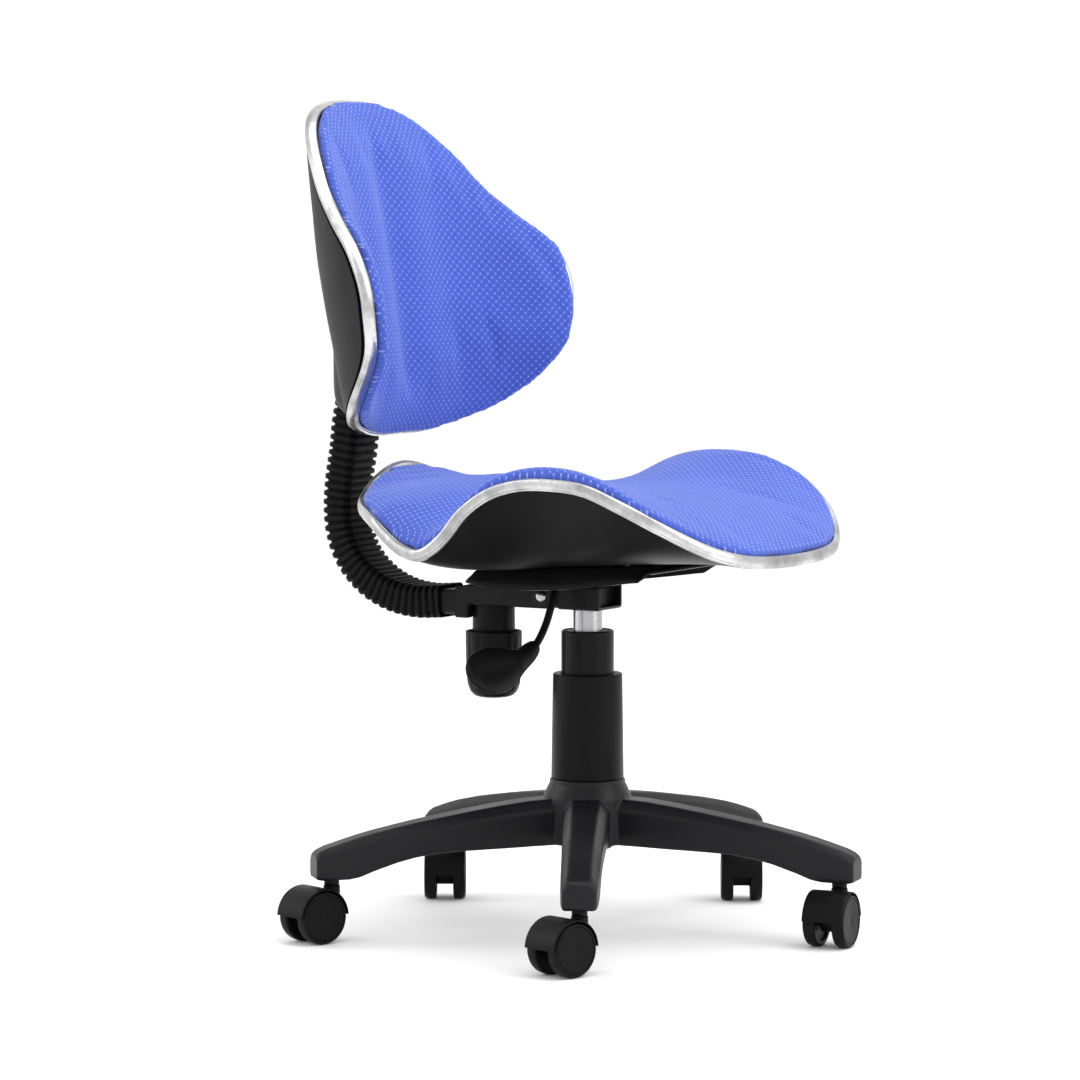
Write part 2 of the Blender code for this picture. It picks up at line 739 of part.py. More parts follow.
def make_tension_unit():
    collar = turned(
        "knob_collar",
        [
            (COLLAR_RADIUS, HOUSING_LOW - GAP), (COLLAR_RADIUS, COLLAR_LOW),
            (COLLAR_BORE, COLLAR_LOW), (COLLAR_BORE, HOUSING_LOW - GAP),
        ],
        NYLON, 24,
    )
    bolt = turned(
        "tension_bolt",
        [
            (0, PLATE_HIGH - PLATE_WALL - GAP), (0.0065, PLATE_HIGH - PLATE_WALL - GAP),
            (0.0065, 0.3370), (TENSION_BOLT_RADIUS, 0.3370),
            (TENSION_BOLT_RADIUS, 0.2280), (0, 0.2280),
        ],
        STEEL_BRIGHT, 12, closed=False,
    )
    seat = turned(
        "spring_seat",
        [
            (0.0222, 0.2365), (0.0222, 0.2330), (TENSION_BOLT_RADIUS + 0.0005, 0.2330),
            (TENSION_BOLT_RADIUS + 0.0005, 0.2365),
        ],
        STEEL_BRIGHT, 20,
    )
    steps = SPRING_TURNS * SPRING_STEPS
    low = 0.2385
    high = HOUSING_LOW - SPRING_WIRE - 0.0006
    coil = []
    for n in range(steps + 1):
        turn = math.tau * n / SPRING_STEPS
        coil.append((SPRING_RADIUS * math.cos(turn), SPRING_RADIUS * math.sin(turn),
                     low + (high - low) * n / steps))
    spring = rod_along("tension_spring", coil, SPRING_WIRE, STEEL_BRIGHT)
    knob = turned(
        "tension_knob",
        [
            (0, KNOB_HIGH), (KNOB_RADIUS - 0.001, KNOB_HIGH), (KNOB_RADIUS, KNOB_HIGH - 0.001),
            (KNOB_RADIUS - 0.0004, 0.2400), (0.0245, 0.2265), (0.0195, 0.2190),
            (0.0120, KNOB_LOW), (0, KNOB_LOW),
        ],
        NYLON, 24, closed=False,
    )
    cut(knob, [
        drill(KNOB_BORE, (0, 0, 0.2375), (0, 0, 0.290), 24),
        drill(KNOB_BORE - 0.0025, (0, 0, 0.2320), (0, 0, 0.260), 24),
        drill(0.0050, (0, 0, 0.2240), (0, 0, 0.260)),
    ])
    pivot = empty("knob_axis", (0, KNOB_Y, 0))
    for item in (collar, bolt, seat, spring, knob):
        item.parent = pivot


LEVER_PATH = [
    (0.0040, 0.0004, 0.3357), (-0.0200, 0.0042, 0.3357), (-0.0310, 0.0085, 0.3345),
    (-0.0385, 0.0100, 0.3290), (-0.0480, 0.0100, 0.3170), (-0.0600, 0.0100, 0.2970),
    (-0.0740, 0.0100, 0.2820), (-0.0900, 0.0100, 0.2715), (-0.1080, 0.0100, 0.2640),
]
LEVER_RADIUS = 0.0036
# The grip along the lever: centre x, z, half height, half thickness, lean of its top to +Y
GRIP_SECTIONS = [
    (-0.0835, 0.2752, 0.0068, 0.0072, 0), (-0.0930, 0.2715, 0.0100, 0.0092, 4),
    (-0.1060, 0.2660, 0.0115, 0.0100, 12), (-0.1250, 0.2625, 0.0165, 0.0085, 22),
    (-0.1450, 0.2610, 0.0225, 0.0075, 30), (-0.1650, 0.2600, 0.0225, 0.0070, 33),
    (-0.1850, 0.2590, 0.0175, 0.0062, 33), (-0.1980, 0.2580, 0.0085, 0.0045, 33),
]


def make_lever():
    pivot = empty("lever_axis", (-0.0195, 0.0, 0.3357))
    rod = rod_along("lever_rod", LEVER_PATH, LEVER_RADIUS, STEEL_BLACK, 1)
    rings = []
    for x, z, tall, thick, lean in GRIP_SECTIONS:
        ring = []
        for n in range(12):
            turn = math.tau * n / 12
            across = Vector((0, thick * math.cos(turn), tall * math.sin(turn)))
            across.rotate(Matrix.Rotation(math.radians(-lean), 3, "X"))
            ring.append(Vector((x, 0.010, z)) + across)
        rings.append(ring)
    grip = loft("lever_grip", rings, NYLON)
    bore = rod_along("bore", LEVER_PATH[5:-1] + [(-0.1095, 0.0100, 0.2635)],
                     LEVER_RADIUS + 0.0005, None, 1)
    cut(grip, [bore])
    for item in (rod, grip):
        item.location = -pivot.location
        item.parent = pivot


# ---------------------------------------------------------------- back bar


def bar_frames():
    """Centre and across direction of each point of the bar, in the y-z plane."""
    line = [Vector((0, y, z)) for y, z in BAR_LINE]
    frames = []
    for n, point in enumerate(line):
        before = line[max(n - 1, 0)]
        after = line[min(n + 1, len(line) - 1)]
        along = (after - before).normalized()
        frames.append((point, Vector((0, -along.z, along.y))))
    return frames


def bar_rings(half_width, half_depth, corner, first=0, last=None):
    rings = []
    for (point, across), share in list(zip(bar_frames(), BAR_SHARES))[first:last]:
        ring = []
        for u, v in (
            (-1, -1 + corner), (-1, 1 - corner), (-1 + corner / 2, 1), (1 - corner / 2, 1),
            (1, 1 - corner), (1, -1 + corner), (1 - corner / 2, -1), (-1 + corner / 2, -1),
        ):
            ring.append(point + Vector((u * half_width, 0, 0)) + across * v * half_depth * share)
        rings.append(ring)
    return rings


def stretched(rings, reach):
    """The rings with the first and last ones moved outwards along the line."""
    first = [a + (a - b).normalized() * reach for a, b in zip(rings[0], rings[1])]
    last = [a + (a - b).normalized() * reach for a, b in zip(rings[-1], rings[-2])]
    return [first, *rings[1:-1], last]


def make_back_bar():
    bar = loft("back_bar", bar_rings(BAR_HALF_WIDTH, BAR_HALF_DEPTH, 0.25), STEEL_BLACK)
    inside = bar_rings(BAR_HALF_WIDTH - BAR_WALL, BAR_HALF_DEPTH - BAR_WALL, 0.25)
    cut(bar, [loft("inside", stretched(inside, 0.005), None, collection=CUTTERS)])
    cut(bar, [drill(0.0036, (0, y - 0.05, z), (0, y + 0.05, z), 8) for y, z in BACK_STUDS])
    first = BELLOWS_FIRST
    last = BELLOWS_LAST + 1
    sleeve = loft(
        "bar_bellows", bar_rings(BELLOWS_HALF_WIDTH, BELLOWS_HALF_DEPTH, 0.4, first, last), RUBBER
    )
    inner = bar_rings(BAR_HALF_WIDTH + 0.0006, BAR_HALF_DEPTH + 0.0006, 0.25, first, last)
    cut(sleeve, [loft("inner", stretched(inner, 0.005), None, collection=CUTTERS)])


BACK_STUDS = [(0.2462, 0.570), (0.2506, 0.595)]


# ---------------------------------------------------------------- seat


def seat_dish(rim_z, reach):
    return SEAT_DISH_Z + (rim_z - SEAT_DISH_Z) * reach**SEAT_DISH_POWER


def seat_floor(y, rim_z, reach):
    """The underside of the seat's shell: a tilted plane, and up to the trim at the rim."""
    share = (reach / SHELL_REACH) ** SEAT_WALL_POWER
    plane = SEAT_FLOOR_Z + rise(y)
    return plane + (rim_z - 0.0065 - plane) * share


def pad_crown(x, y):
    """The pad's height over its rim, less along the middle of its rear edge."""
    share = min(max((y - 0.08) / 0.10, 0.0), 1.0)
    rear = share * share * (3 - 2 * share)
    return SEAT_PAD_CROWN - SEAT_PAD_HOLLOW * rear * math.exp(-((x / 0.07) ** 2))


def seat_point(t, reach):
    x, y, rim_z = SEAT_LINE(t)
    return (
        SEAT_CENTRE[0] + (x - SEAT_CENTRE[0]) * reach,
        SEAT_CENTRE[1] + (y - SEAT_CENTRE[1]) * reach,
        rim_z,
    )


def seat_pad_point(t, reach, height):
    if height >= -0.0001:
        x, y, rim_z = seat_point(t, reach * 0.985)
        lift = pad_crown(x, y) * max(height, 0.0) ** 0.65
        return (x, y, seat_dish(rim_z, reach) + 0.0042 + 0.0036 * reach**6 + lift)
    inner = 0.945 * reach**0.8 + 0.040 * max(reach - 0.85, 0) / 0.15
    x, y, rim_z = seat_point(t, min(inner, 0.985))
    floor = seat_floor(y, rim_z, inner) + 0.0094 + 0.0120 * inner**2
    return (x, y, min(floor, seat_dish(rim_z, inner) + 0.0035 + 0.0027 * inner**6))


def seat_shell_point(t, reach, height):
    x, y, rim_z = seat_point(t, reach * SHELL_REACH)
    return (x, y, seat_floor(y, rim_z, reach * SHELL_REACH))


def seat_board_point(t, reach, height):
    x, y, rim_z = seat_point(t, reach * BOARD_REACH)
    return (x, y, seat_floor(y, rim_z, reach * BOARD_REACH) + 0.0034 + 0.0045 * reach**2)


def make_seat():
    round_form("seat_pad", 6, seat_pad_point, FABRIC)
    shell = round_form("seat_shell", 6, seat_shell_point, SHELL_PLASTIC, half=True)
    thicken(shell, SHELL_WALL, -1)
    board = round_form("seat_board", 5, seat_board_point, BOARD, half=True)
    thicken(board, 0.0035, -1)
    for item in (shell, board):
        cut(item, [bolt_hole(x, y) for x, y in SEAT_BOLTS])
    line = [SEAT_LINE(n / AROUND) for n in range(AROUND)]
    rod_along("seat_trim", line, TRIM_RADIUS, CHROME_TRIM, 1, cyclic=True)
    for n, (x, y) in enumerate(SEAT_BOLTS, start=1):
        bolt = turned(
            f"seat_bolt_{n}",
            [
                (0, 0.0065), (BOLT_RADIUS, 0.0065), (BOLT_RADIUS, -0.0032), (0.0056, -0.0032),
                (0.0056, -0.0070), (0, -0.0070),
            ],
            STEEL_BRIGHT, 8, closed=False,
        )
        bolt.location = (x, y, PLATE_HIGH + rise(y))


# ---------------------------------------------------------------- backrest


def back_wrap(z):
    """How far the wings come forward at this height."""
    fuller = 0.009 * math.exp(-(((z - 0.545) / 0.035) ** 2))
    flatter = 0.004 * math.exp(-(((z - 0.645) / 0.030) ** 2))
    return BACK_WRAP + fuller - flatter


def back_slope(x, z):
    share = abs(x) / BACK_HALF_WIDTH
    return back_wrap(z) * BACK_WRAP_POWER / BACK_HALF_WIDTH * share ** (BACK_WRAP_POWER - 1)


def back_surface(x, z):
    """The y of the backrest's middle surface, which wraps forward at its wings."""
    share = min(abs(x) / BACK_HALF_WIDTH, 1.0)
    return BACK_LOW_Y + BACK_RECLINE * (z - BACK_LOW_Z) - back_wrap(z) * share**BACK_WRAP_POWER


def back_point(t, reach, ahead):
    """A point of the backrest, ahead being its distance in front of the middle surface."""
    x, z = BACK_LINE(t)
    x = x * reach
    z = BACK_CENTRE_Z + (z - BACK_CENTRE_Z) * reach
    tilt = math.atan(back_slope(x, z))
    side = math.copysign(1.0, x)
    return (
        x - side * ahead * math.sin(tilt),
        back_surface(x, z) - ahead * math.cos(tilt),
        z,
    )


def back_pad_point(t, reach, height):
    if height >= -0.0001:
        return back_point(t, 0.985 * reach, 0.007 + 0.8 * BACK_PAD_CROWN * max(height, 0) ** 0.5)
    inner = 0.945 * reach**0.8 + 0.040 * max(reach - 0.85, 0) / 0.15
    return back_point(t, min(inner, 0.985), 0.0012 + 0.0058 * max(reach - 0.9, 0) / 0.1)


def back_shell_point(t, reach, height):
    """The back cover, with a ridge along its spine that deepens to its foot, where the bar is."""
    x, z = BACK_LINE(t)
    z = BACK_CENTRE_Z + (z - BACK_CENTRE_Z) * reach
    foot = min(max((0.600 - z) / 0.107, 0.0), 1.0) ** 1.35
    crest = 0.0035 * min(max((z - 0.65) / 0.05, 0.0), 1.0)
    ridge = BACK_SPINE_DEPTH + BACK_FOOT_DEPTH * foot + crest
    ridge *= math.exp(-((x * reach / 0.055) ** 4))
    deep = BACK_SHELL_DEPTH * (1 - reach**BACK_SHELL_POWER) + ridge * (1 - reach**12)
    return back_point(t, reach * 0.975, -0.0062 - deep)


def back_board_point(t, reach, height):
    return back_point(t, reach * 0.60, -0.0022)


def back_boss():
    """The block on the board that the flattened end of the bar is bolted against."""
    (y1, z1), (y2, z2) = BACK_STUDS
    lean = (y2 - y1) / (z2 - z1)
    corners = ((-0.019, 0.561), (0.019, 0.561), (0.019, 0.604), (-0.019, 0.604))
    front = [(x, BACK_LOW_Y + BACK_RECLINE * (z - BACK_LOW_Z) + 0.0036, z) for x, z in corners]
    flat = BAR_HALF_DEPTH * BAR_SHARES[-1] + 0.0007
    back = [(x, y1 + (z - z1) * lean - flat, z) for x, z in corners]
    return loft("boss", [front, back], None, collection=CUTTERS)


def make_back():
    round_form("back_pad", 6, back_pad_point, FABRIC)
    shell = round_form("back_shell", 6, back_shell_point, SHELL_PLASTIC, half=True)
    thicken(shell, SHELL_WALL, -1)
    slot = bar_rings(BELLOWS_HALF_WIDTH + 0.001, BELLOWS_HALF_DEPTH + 0.001, 0.4, 10, 13)
    cut(shell, [loft("slot", stretched(slot, 0.010), None, collection=CUTTERS)])
    board = round_form("back_board", 5, back_board_point, BOARD, half=True)
    thicken(board, 0.0030, 1)
    join(board, [back_boss()])
    for y, z in BACK_STUDS:
        cut(board, [drill(0.0036, (0, y - 0.022, z), (0, y + 0.05, z), 8)])
    line = [Vector(back_point(n / AROUND, 1.0, 0.0)) for n in range(AROUND)]
    rod_along("back_trim", line, TRIM_RADIUS, CHROME_TRIM, 1, cyclic=True)


def make_stud_plate():
    """A strip with two studs, which clamps the bar to the board from behind."""
    (y1, z1), (y2, z2) = BACK_STUDS
    lean = (y2 - y1) / (z2 - z1)
    lift = BAR_HALF_DEPTH * BAR_SHARES[-1] + 0.0008
    corners = ((-0.008, 0.562), (0.008, 0.562), (0.008, 0.603), (-0.008, 0.603))
    plate = loft(
        "back_stud_plate",
        [[(x, y1 + (z - z1) * lean + ahead, z) for x, z in corners]
         for ahead in (lift, lift + 0.0022)],
        STEEL_BRIGHT,
    )
    studs = [
        cylinder("stud", 0.0030, (0, y - 0.0135, z), (0, y + lift + 0.001, z), steps=8,
                 collection=CUTTERS)
        for y, z in BACK_STUDS
    ]
    join(plate, studs)


make_base()
make_casters()
make_gas_lift()
make_seat_plate()
make_housing()
make_tilt_bracket()
make_pivot_bolt()
make_tension_unit()
make_lever()
make_back_bar()
make_seat()
make_back()
make_stud_plate()
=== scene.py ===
"""A swivel office chair with a blue mesh seat and back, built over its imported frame.

Metres, +Z up. The origin is on the floor under the column, and the sitter faces -Y.
"""

import math

import bmesh
import bpy
import numpy as np
from mathutils import Matrix, Vector
from mathutils.bvhtree import BVHTree


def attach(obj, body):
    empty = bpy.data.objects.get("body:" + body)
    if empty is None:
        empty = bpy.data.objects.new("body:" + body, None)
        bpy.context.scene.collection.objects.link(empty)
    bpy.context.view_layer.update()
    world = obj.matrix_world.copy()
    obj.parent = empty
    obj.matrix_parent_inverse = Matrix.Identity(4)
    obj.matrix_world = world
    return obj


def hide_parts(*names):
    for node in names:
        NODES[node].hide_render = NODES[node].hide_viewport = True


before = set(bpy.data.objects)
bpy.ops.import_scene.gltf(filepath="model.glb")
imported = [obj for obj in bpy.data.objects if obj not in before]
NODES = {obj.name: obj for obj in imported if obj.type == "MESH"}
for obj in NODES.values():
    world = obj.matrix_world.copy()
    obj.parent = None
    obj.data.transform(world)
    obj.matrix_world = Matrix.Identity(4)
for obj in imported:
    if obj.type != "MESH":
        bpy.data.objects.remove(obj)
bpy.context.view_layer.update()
UP = Vector((0, 0, 1))

# Base and casters
ARM_ANGLES = [math.radians(208.39 + 72 * n) for n in range(5)]
STEM_CIRCLE = 0.25
# Along an arm: the distance from the column, the low and the high face, and half the width
ARM_SECTIONS = [
    (0.02, 0.084, 0.1285, 0.0215),
    (0.06, 0.083, 0.1262, 0.021),
    (0.09, 0.082, 0.1225, 0.0205),
    (0.12, 0.0813, 0.118, 0.02),
    (0.15, 0.08, 0.113, 0.0195),
    (0.172, 0.0768, 0.1092, 0.019),
    (0.19, 0.0725, 0.1055, 0.0185),
    (0.212, 0.0655, 0.1008, 0.0182),
    (0.226, 0.0602, 0.0972, 0.018),
    (0.236, 0.0584, 0.0944, 0.0178),
    (0.256, 0.058, 0.0884, 0.0173),
    (0.2635, 0.0582, 0.085, 0.0164),
    (0.2675, 0.0594, 0.0815, 0.015),
]
CASTER_TURNS = [math.radians(a) for a in (-107, -83, -60, -60, -110)]
# How far the axle is behind the stem
TRAIL = 0.022
WHEEL_RADIUS = 0.025
WHEEL_INNER = 0.0084
WHEEL_OUTER = 0.0203
HOOD_RADIUS = 0.0275
HOOD_POCKET = 0.0262
HOOD_HALF_WIDTH = 0.0198
WEB_HALF_WIDTH = 0.008

# Back bar: the centre line of its tube, as (y, z)
BAR_LINE = [
    (0.1255, 0.3075), (0.15, 0.3073), (0.18, 0.3058), (0.206, 0.3098), (0.229, 0.3193),
    (0.248, 0.3338), (0.2612, 0.3518), (0.2685, 0.3725), (0.2705, 0.395), (0.2687, 0.42),
    (0.2637, 0.45), (0.26, 0.48), (0.2525, 0.51), (0.2446, 0.54), (0.2445, 0.56),
    (0.2523, 0.605),
]
BAR_HALF_WIDTH = 0.021
BAR_HALF_DEPTH = 0.012
BAR_CHAMFER = 0.003
BAR_WALL = 0.002
# The tube has its full depth up to the first height, and half of it above the second
BAR_FLATTENED = (0.48, 0.56)

# Bellows: its ribs begin and end at these lengths along the bar
BELLOWS_START = 0.031
BELLOWS_END = 0.3035
BELLOWS_PITCH = 0.0079
BELLOWS_WALL = 0.0006

# Seat: half of the trim's line from the front centre to the rear centre
SEAT_CENTRE = (0.0, -0.015)
SEAT_HALF = [
    (0.0, -0.219, 0.3615), (0.055, -0.218, 0.363), (0.092, -0.2125, 0.367),
    (0.12, -0.201, 0.3745), (0.144, -0.186, 0.386), (0.165, -0.165, 0.401),
    (0.178, -0.137, 0.4175), (0.18, -0.1, 0.432), (0.176, -0.06, 0.4355),
    (0.173, -0.025, 0.4335), (0.174, 0.005, 0.4245), (0.178, 0.03, 0.4065),
    (0.1815, 0.05, 0.382), (0.182, 0.072, 0.367), (0.178, 0.093, 0.3695),
    (0.17, 0.115, 0.3795), (0.156, 0.14, 0.393), (0.127, 0.171, 0.403),
    (0.09, 0.192, 0.41), (0.051, 0.201, 0.425), (0.0, 0.207, 0.435),
]
# The middle of the dish that the pad lies in, and of the pan's flat floor above the tray
SEAT_DISH_Z = 0.391
SEAT_DISH_POWER = 2.2
SEAT_FLOOR_Z = 0.3437
SEAT_FLOOR_POWER = 4
SEAT_RIM_DROP = 0.0065
# How much the floor and the tray rise forwards, per metre
SEAT_TILT = 0.062
SEAT_PAD_EDGE = 0.0035
SEAT_PAD_CROWN = 0.029
SEAT_PAD_HOLLOW = 0.02
TRAY_HALF_WIDTH = 0.06
TRAY_FRONT = -0.098
TRAY_REAR = 0.09
TRAY_TOP = 0.3431
TRAY_WALL = 0.0024
SHELL_REACH = 0.978
SHELL_WALL = 0.0025

# Backrest: half of its outline from the bottom to the top, as (x, z)
BACK_CENTRE_Z = 0.6
BACK_LOW_Z = 0.47
BACK_LOW_Y = 0.216
BACK_RECLINE = 0.1725
# How far the wings come forward at their tips, and how late they begin to
BACK_WRAP = 0.112
BACK_WRAP_POWER = 2.8
BACK_HALF_WIDTH = 0.186
BACK_SHELL_REACH = 0.975
BACK_PAD_REACH = 1.024
BACK_HALF = [
    (0.0, 0.47), (0.04, 0.4705), (0.069, 0.475), (0.1, 0.4826), (0.127, 0.4941),
    (0.1525, 0.5155), (0.1695, 0.5443), (0.1805, 0.5778), (0.1855, 0.612), (0.1805, 0.6455),
    (0.1595, 0.6755), (0.138, 0.7041), (0.121, 0.7313), (0.0985, 0.7549), (0.0715, 0.7722),
    (0.0375, 0.7813), (0.0, 0.7835),
]

# Pads: the cloth that they are puffed up as, and how far a point may move
PAD_VOXEL = 0.005
PUFF_LIMIT = 0.003
RIM_STEPS = 200
CLOTH_FRAMES = 20
CLOTH_SETTINGS = {
    "use_pressure": True, "uniform_pressure_force": 4.0, "vertex_group_mass": "held",
    "quality": 5, "tension_stiffness": 12, "compression_stiffness": 12, "bending_stiffness": 1.5,
}


# ---- camera, light and floor


def make_camera():
    """The photo's view: from 30 degrees ahead of the sitter's right, low and far away."""
    toward = Vector((-math.cos(math.radians(30)), -math.sin(math.radians(30)), 0))
    right = Vector((-toward.y, toward.x, 0))
    pitch = math.radians(4.48)
    yaw = math.radians(0.595)
    look = (-right * math.sin(yaw) - toward * math.cos(yaw)) * math.cos(pitch)
    look -= UP * math.sin(pitch)
    data = bpy.data.cameras.new("photo_view")
    data.lens = 153.53
    data.sensor_width = 36
    camera = bpy.data.objects.new("photo_view", data)
    bpy.context.scene.collection.objects.link(camera)
    camera.location = toward * 4.35 + UP * 0.712
    camera.rotation_euler = look.to_track_quat("-Z", "Y").to_euler()
    bpy.context.scene.camera = camera


def add_light(name, location, target, size, power):
    data = bpy.data.lights.new(name, "AREA")
    data.shape = "RECTANGLE"
    data.size, data.size_y = size
    data.energy = power
    lamp = bpy.data.objects.new(name, data)
    bpy.context.scene.collection.objects.link(lamp)
    lamp.location = location
    aim = Vector(target) - Vector(location)
    lamp.rotation_euler = aim.to_track_quat("-Z", "Y").to_euler()


def make_stage():
    """A white studio with a pale floor and three soft lamps."""
    scene = bpy.context.scene
    scene.view_settings.view_transform = "Standard"
    world = bpy.data.worlds.new("studio")
    world.use_nodes = True
    background = world.node_tree.nodes["Background"]
    background.inputs["Color"].default_value = (1, 1, 1, 1)
    background.inputs["Strength"].default_value = 1.08
    scene.world = world
    made = bmesh.new()
    bmesh.ops.create_grid(made, x_segments=8, y_segments=8, size=30)
    mesh = bpy.data.meshes.new("floor")
    made.to_mesh(mesh)
    made.free()
    floor = bpy.data.objects.new("floor", mesh)
    scene.collection.objects.link(floor)
    mesh.materials.append(FLOOR)
    add_light("top_softbox", (0.3, -0.5, 2.8), (0, 0, 0.5), (2.6, 2.6), 46)
    add_light("left_softbox", (-1.2, 2.6, 1.5), (0, 0, 0.45), (1.4, 2.2), 26)
    add_light("right_softbox", (0.2, -3.0, 1.6), (0, 0, 0.45), (1.6, 2.2), 30)


# ---- materials


class Paint:
    """Builds one material's nodes."""

    def __init__(self, name):
        self.material = bpy.data.materials.new(name)
        self.material.use_nodes = True
        self.tree = self.material.node_tree
        self.shader = self.tree.nodes["Principled BSDF"]

    def node(self, kind, **settings):
        made = self.tree.nodes.new(kind)
        for key, value in settings.items():
            setattr(made, key, value)
        return made

    def link(self, output, target):
        self.tree.links.new(output, target)

    def feed(self, value, target):
        if hasattr(value, "links"):
            self.link(value, target)
        else:
            target.default_value = value

    def math(self, operation, a, b):
        made = self.node("ShaderNodeMath", operation=operation)
        self.feed(a, made.inputs[0])
        self.feed(b, made.inputs[1])
        return made.outputs[0]

    def smooth(self, value, low, high, start=0.0, end=1.0):
        made = self.node("ShaderNodeMapRange", interpolation_type="SMOOTHSTEP")
        for given, target in zip((value, low, high, start, end), made.inputs):
            self.feed(given, target)
        return made.outputs[0]

    def mix(self, share, a, b):
        made = self.node("ShaderNodeMix", data_type="RGBA")
        self.feed(share, made.inputs[0])
        self.feed(a, made.inputs[6])
        self.feed(b, made.inputs[7])
        return made.outputs[2]

    def place(self):
        return self.node("ShaderNodeTexCoord").outputs["Object"]

    def noise(self, scale, detail, where=None, rough=0.55):
        made = self.node("ShaderNodeTexNoise")
        made.inputs["Scale"].default_value = scale
        made.inputs["Detail"].default_value = detail
        made.inputs["Roughness"].default_value = rough
        self.link(where or self.place(), made.inputs["Vector"])
        return made.outputs["Fac"]

    def color(self, output):
        self.link(output, self.shader.inputs["Base Color"])

    def blend(self, value, low, high, first, second):
        """One colour where the value is low, and the other where it is high."""
        self.color(self.mix(self.smooth(value, low, high), (*first, 1), (*second, 1)))

    def roughness(self, value, low, high, start, end):
        self.link(self.smooth(value, low, high, start, end), self.shader.inputs["Roughness"])

    def bump(self, height, strength, distance):
        made = self.node("ShaderNodeBump")
        made.inputs["Strength"].default_value = strength
        made.inputs["Distance"].default_value = distance
        self.link(height, made.inputs["Height"])
        self.link(made.outputs["Normal"], self.shader.inputs["Normal"])

    def set(self, **values):
        for key, value in values.items():
            self.shader.inputs[key.replace("_", " ")].default_value = value


def plastic(name, color, rough, grain, grain_scale, gloss):
    """Moulded plastic: a fine grain, and patches a little duller than the rest."""
    paint = Paint(name)
    dull = paint.noise(9.0, 4.0)
    fine = paint.noise(grain_scale, 2.0)
    paint.blend(dull, 0.3, 0.7, color, [c * 1.25 for c in color])
    paint.roughness(dull, 0.25, 0.75, rough - 0.05, rough + 0.06)
    paint.bump(fine, grain, 0.0004)
    paint.set(IOR=1.5, Specular_IOR_Level=gloss)
    return paint.material


def steel(name, color, rough, along_scale):
    """Bare steel, with faint streaks along it."""
    paint = Paint(name)
    cloud = paint.noise(14.0, 4.0)
    mapping = paint.node("ShaderNodeMapping")
    mapping.inputs["Scale"].default_value = along_scale
    paint.link(paint.place(), mapping.inputs["Vector"])
    streaks = paint.noise(60.0, 3.0, mapping.outputs["Vector"])
    paint.blend(cloud, 0.3, 0.7, color, [c * 0.82 for c in color])
    paint.roughness(streaks, 0.3, 0.7, rough - 0.06, rough + 0.08)
    paint.bump(streaks, 0.05, 0.0002)
    paint.set(Metallic=1.0)
    return paint.material


def powder_coat(name, color):
    """Black sheet steel with the slight orange peel of its coat."""
    paint = Paint(name)
    cloud = paint.noise(11.0, 4.0)
    peel = paint.noise(520.0, 2.0)
    paint.blend(cloud, 0.35, 0.7, color, [c * 1.5 for c in color])
    paint.roughness(cloud, 0.3, 0.7, 0.3, 0.4)
    paint.bump(peel, 0.25, 0.0003)
    paint.set(Coat_Weight=0.05, Coat_Roughness=0.2, Specular_IOR_Level=0.1)
    return paint.material


def chrome_strip():
    """The bright plated strip, whose surface is slightly wavy and cloudy."""
    paint = Paint("chrome_trim")
    cloud = paint.noise(26.0, 5.0, rough=0.65)
    wave = paint.noise(60.0, 2.0)
    paint.blend(cloud, 0.32, 0.72, (0.62, 0.62, 0.62), (0.3, 0.3, 0.3))
    paint.roughness(cloud, 0.3, 0.75, 0.2, 0.42)
    paint.bump(wave, 0.5, 0.0012)
    paint.set(Metallic=1.0)
    return paint.material


def mesh_fabric():
    """Blue spacer mesh: a fine knit with a raised diamond lattice and light dots on it."""
    paint = Paint("blue_mesh_fabric")
    flat = paint.node("ShaderNodeUVMap", uv_map="weave").outputs["UV"]
    split = paint.node("ShaderNodeSeparateXYZ")
    paint.link(flat, split.inputs[0])
    u, v = split.outputs[0], split.outputs[1]

    def line(sign, pitch, low, high):
        slant = paint.math("MULTIPLY", v, sign)
        share = paint.math("MULTIPLY", paint.math("ADD", u, slant), 1 / pitch)
        distance = paint.math("PINGPONG", share, 0.5)
        return paint.smooth(distance, high, low)

    def crossed(operation, pitch, low, high):
        return paint.math(operation, line(1.0, pitch, low, high), line(-1.0, pitch, low, high))

    def faded(value, share):
        return paint.math("MULTIPLY", value, share)

    cell = 0.008
    lattice = crossed("MAXIMUM", cell, 0.02, 0.11)
    dots = crossed("MULTIPLY", cell, 0.06, 0.18)
    knit = crossed("MULTIPLY", cell / 6, 0.05, 0.5)
    patches = paint.noise(16.0, 3.0)
    yarn = paint.noise(900.0, 2.0)
    ground = paint.mix(
        paint.smooth(patches, 0.3, 0.7), (0.036, 0.072, 0.4, 1), (0.044, 0.085, 0.45, 1)
    )
    knitted = paint.mix(faded(knit, 0.45), ground, (0.072, 0.125, 0.56, 1))
    lined = paint.mix(faded(lattice, 0.2), knitted, (0.19, 0.28, 0.74, 1))
    paint.color(paint.mix(faded(dots, 0.55), lined, (0.4, 0.5, 0.86, 1)))
    paint.roughness(yarn, 0.3, 0.7, 0.72, 0.92)
    threads = paint.math("ADD", faded(knit, 0.45), faded(yarn, 0.2))
    paint.bump(paint.math("ADD", faded(lattice, 0.5), threads), 0.5, 0.0005)
    paint.set(Sheen_Weight=0.3, Sheen_Roughness=0.45, Sheen_Tint=(0.62, 0.75, 1.0, 1))
    paint.set(Specular_IOR_Level=0.3)
    return paint.material


def floor_paint():
    paint = Paint("pale_floor")
    cloud = paint.noise(0.7, 2.0)
    paint.color(paint.mix(cloud, (0.93, 0.93, 0.93, 1), (0.95, 0.95, 0.948, 1)))
    paint.set(Roughness=0.75)
    return paint.material


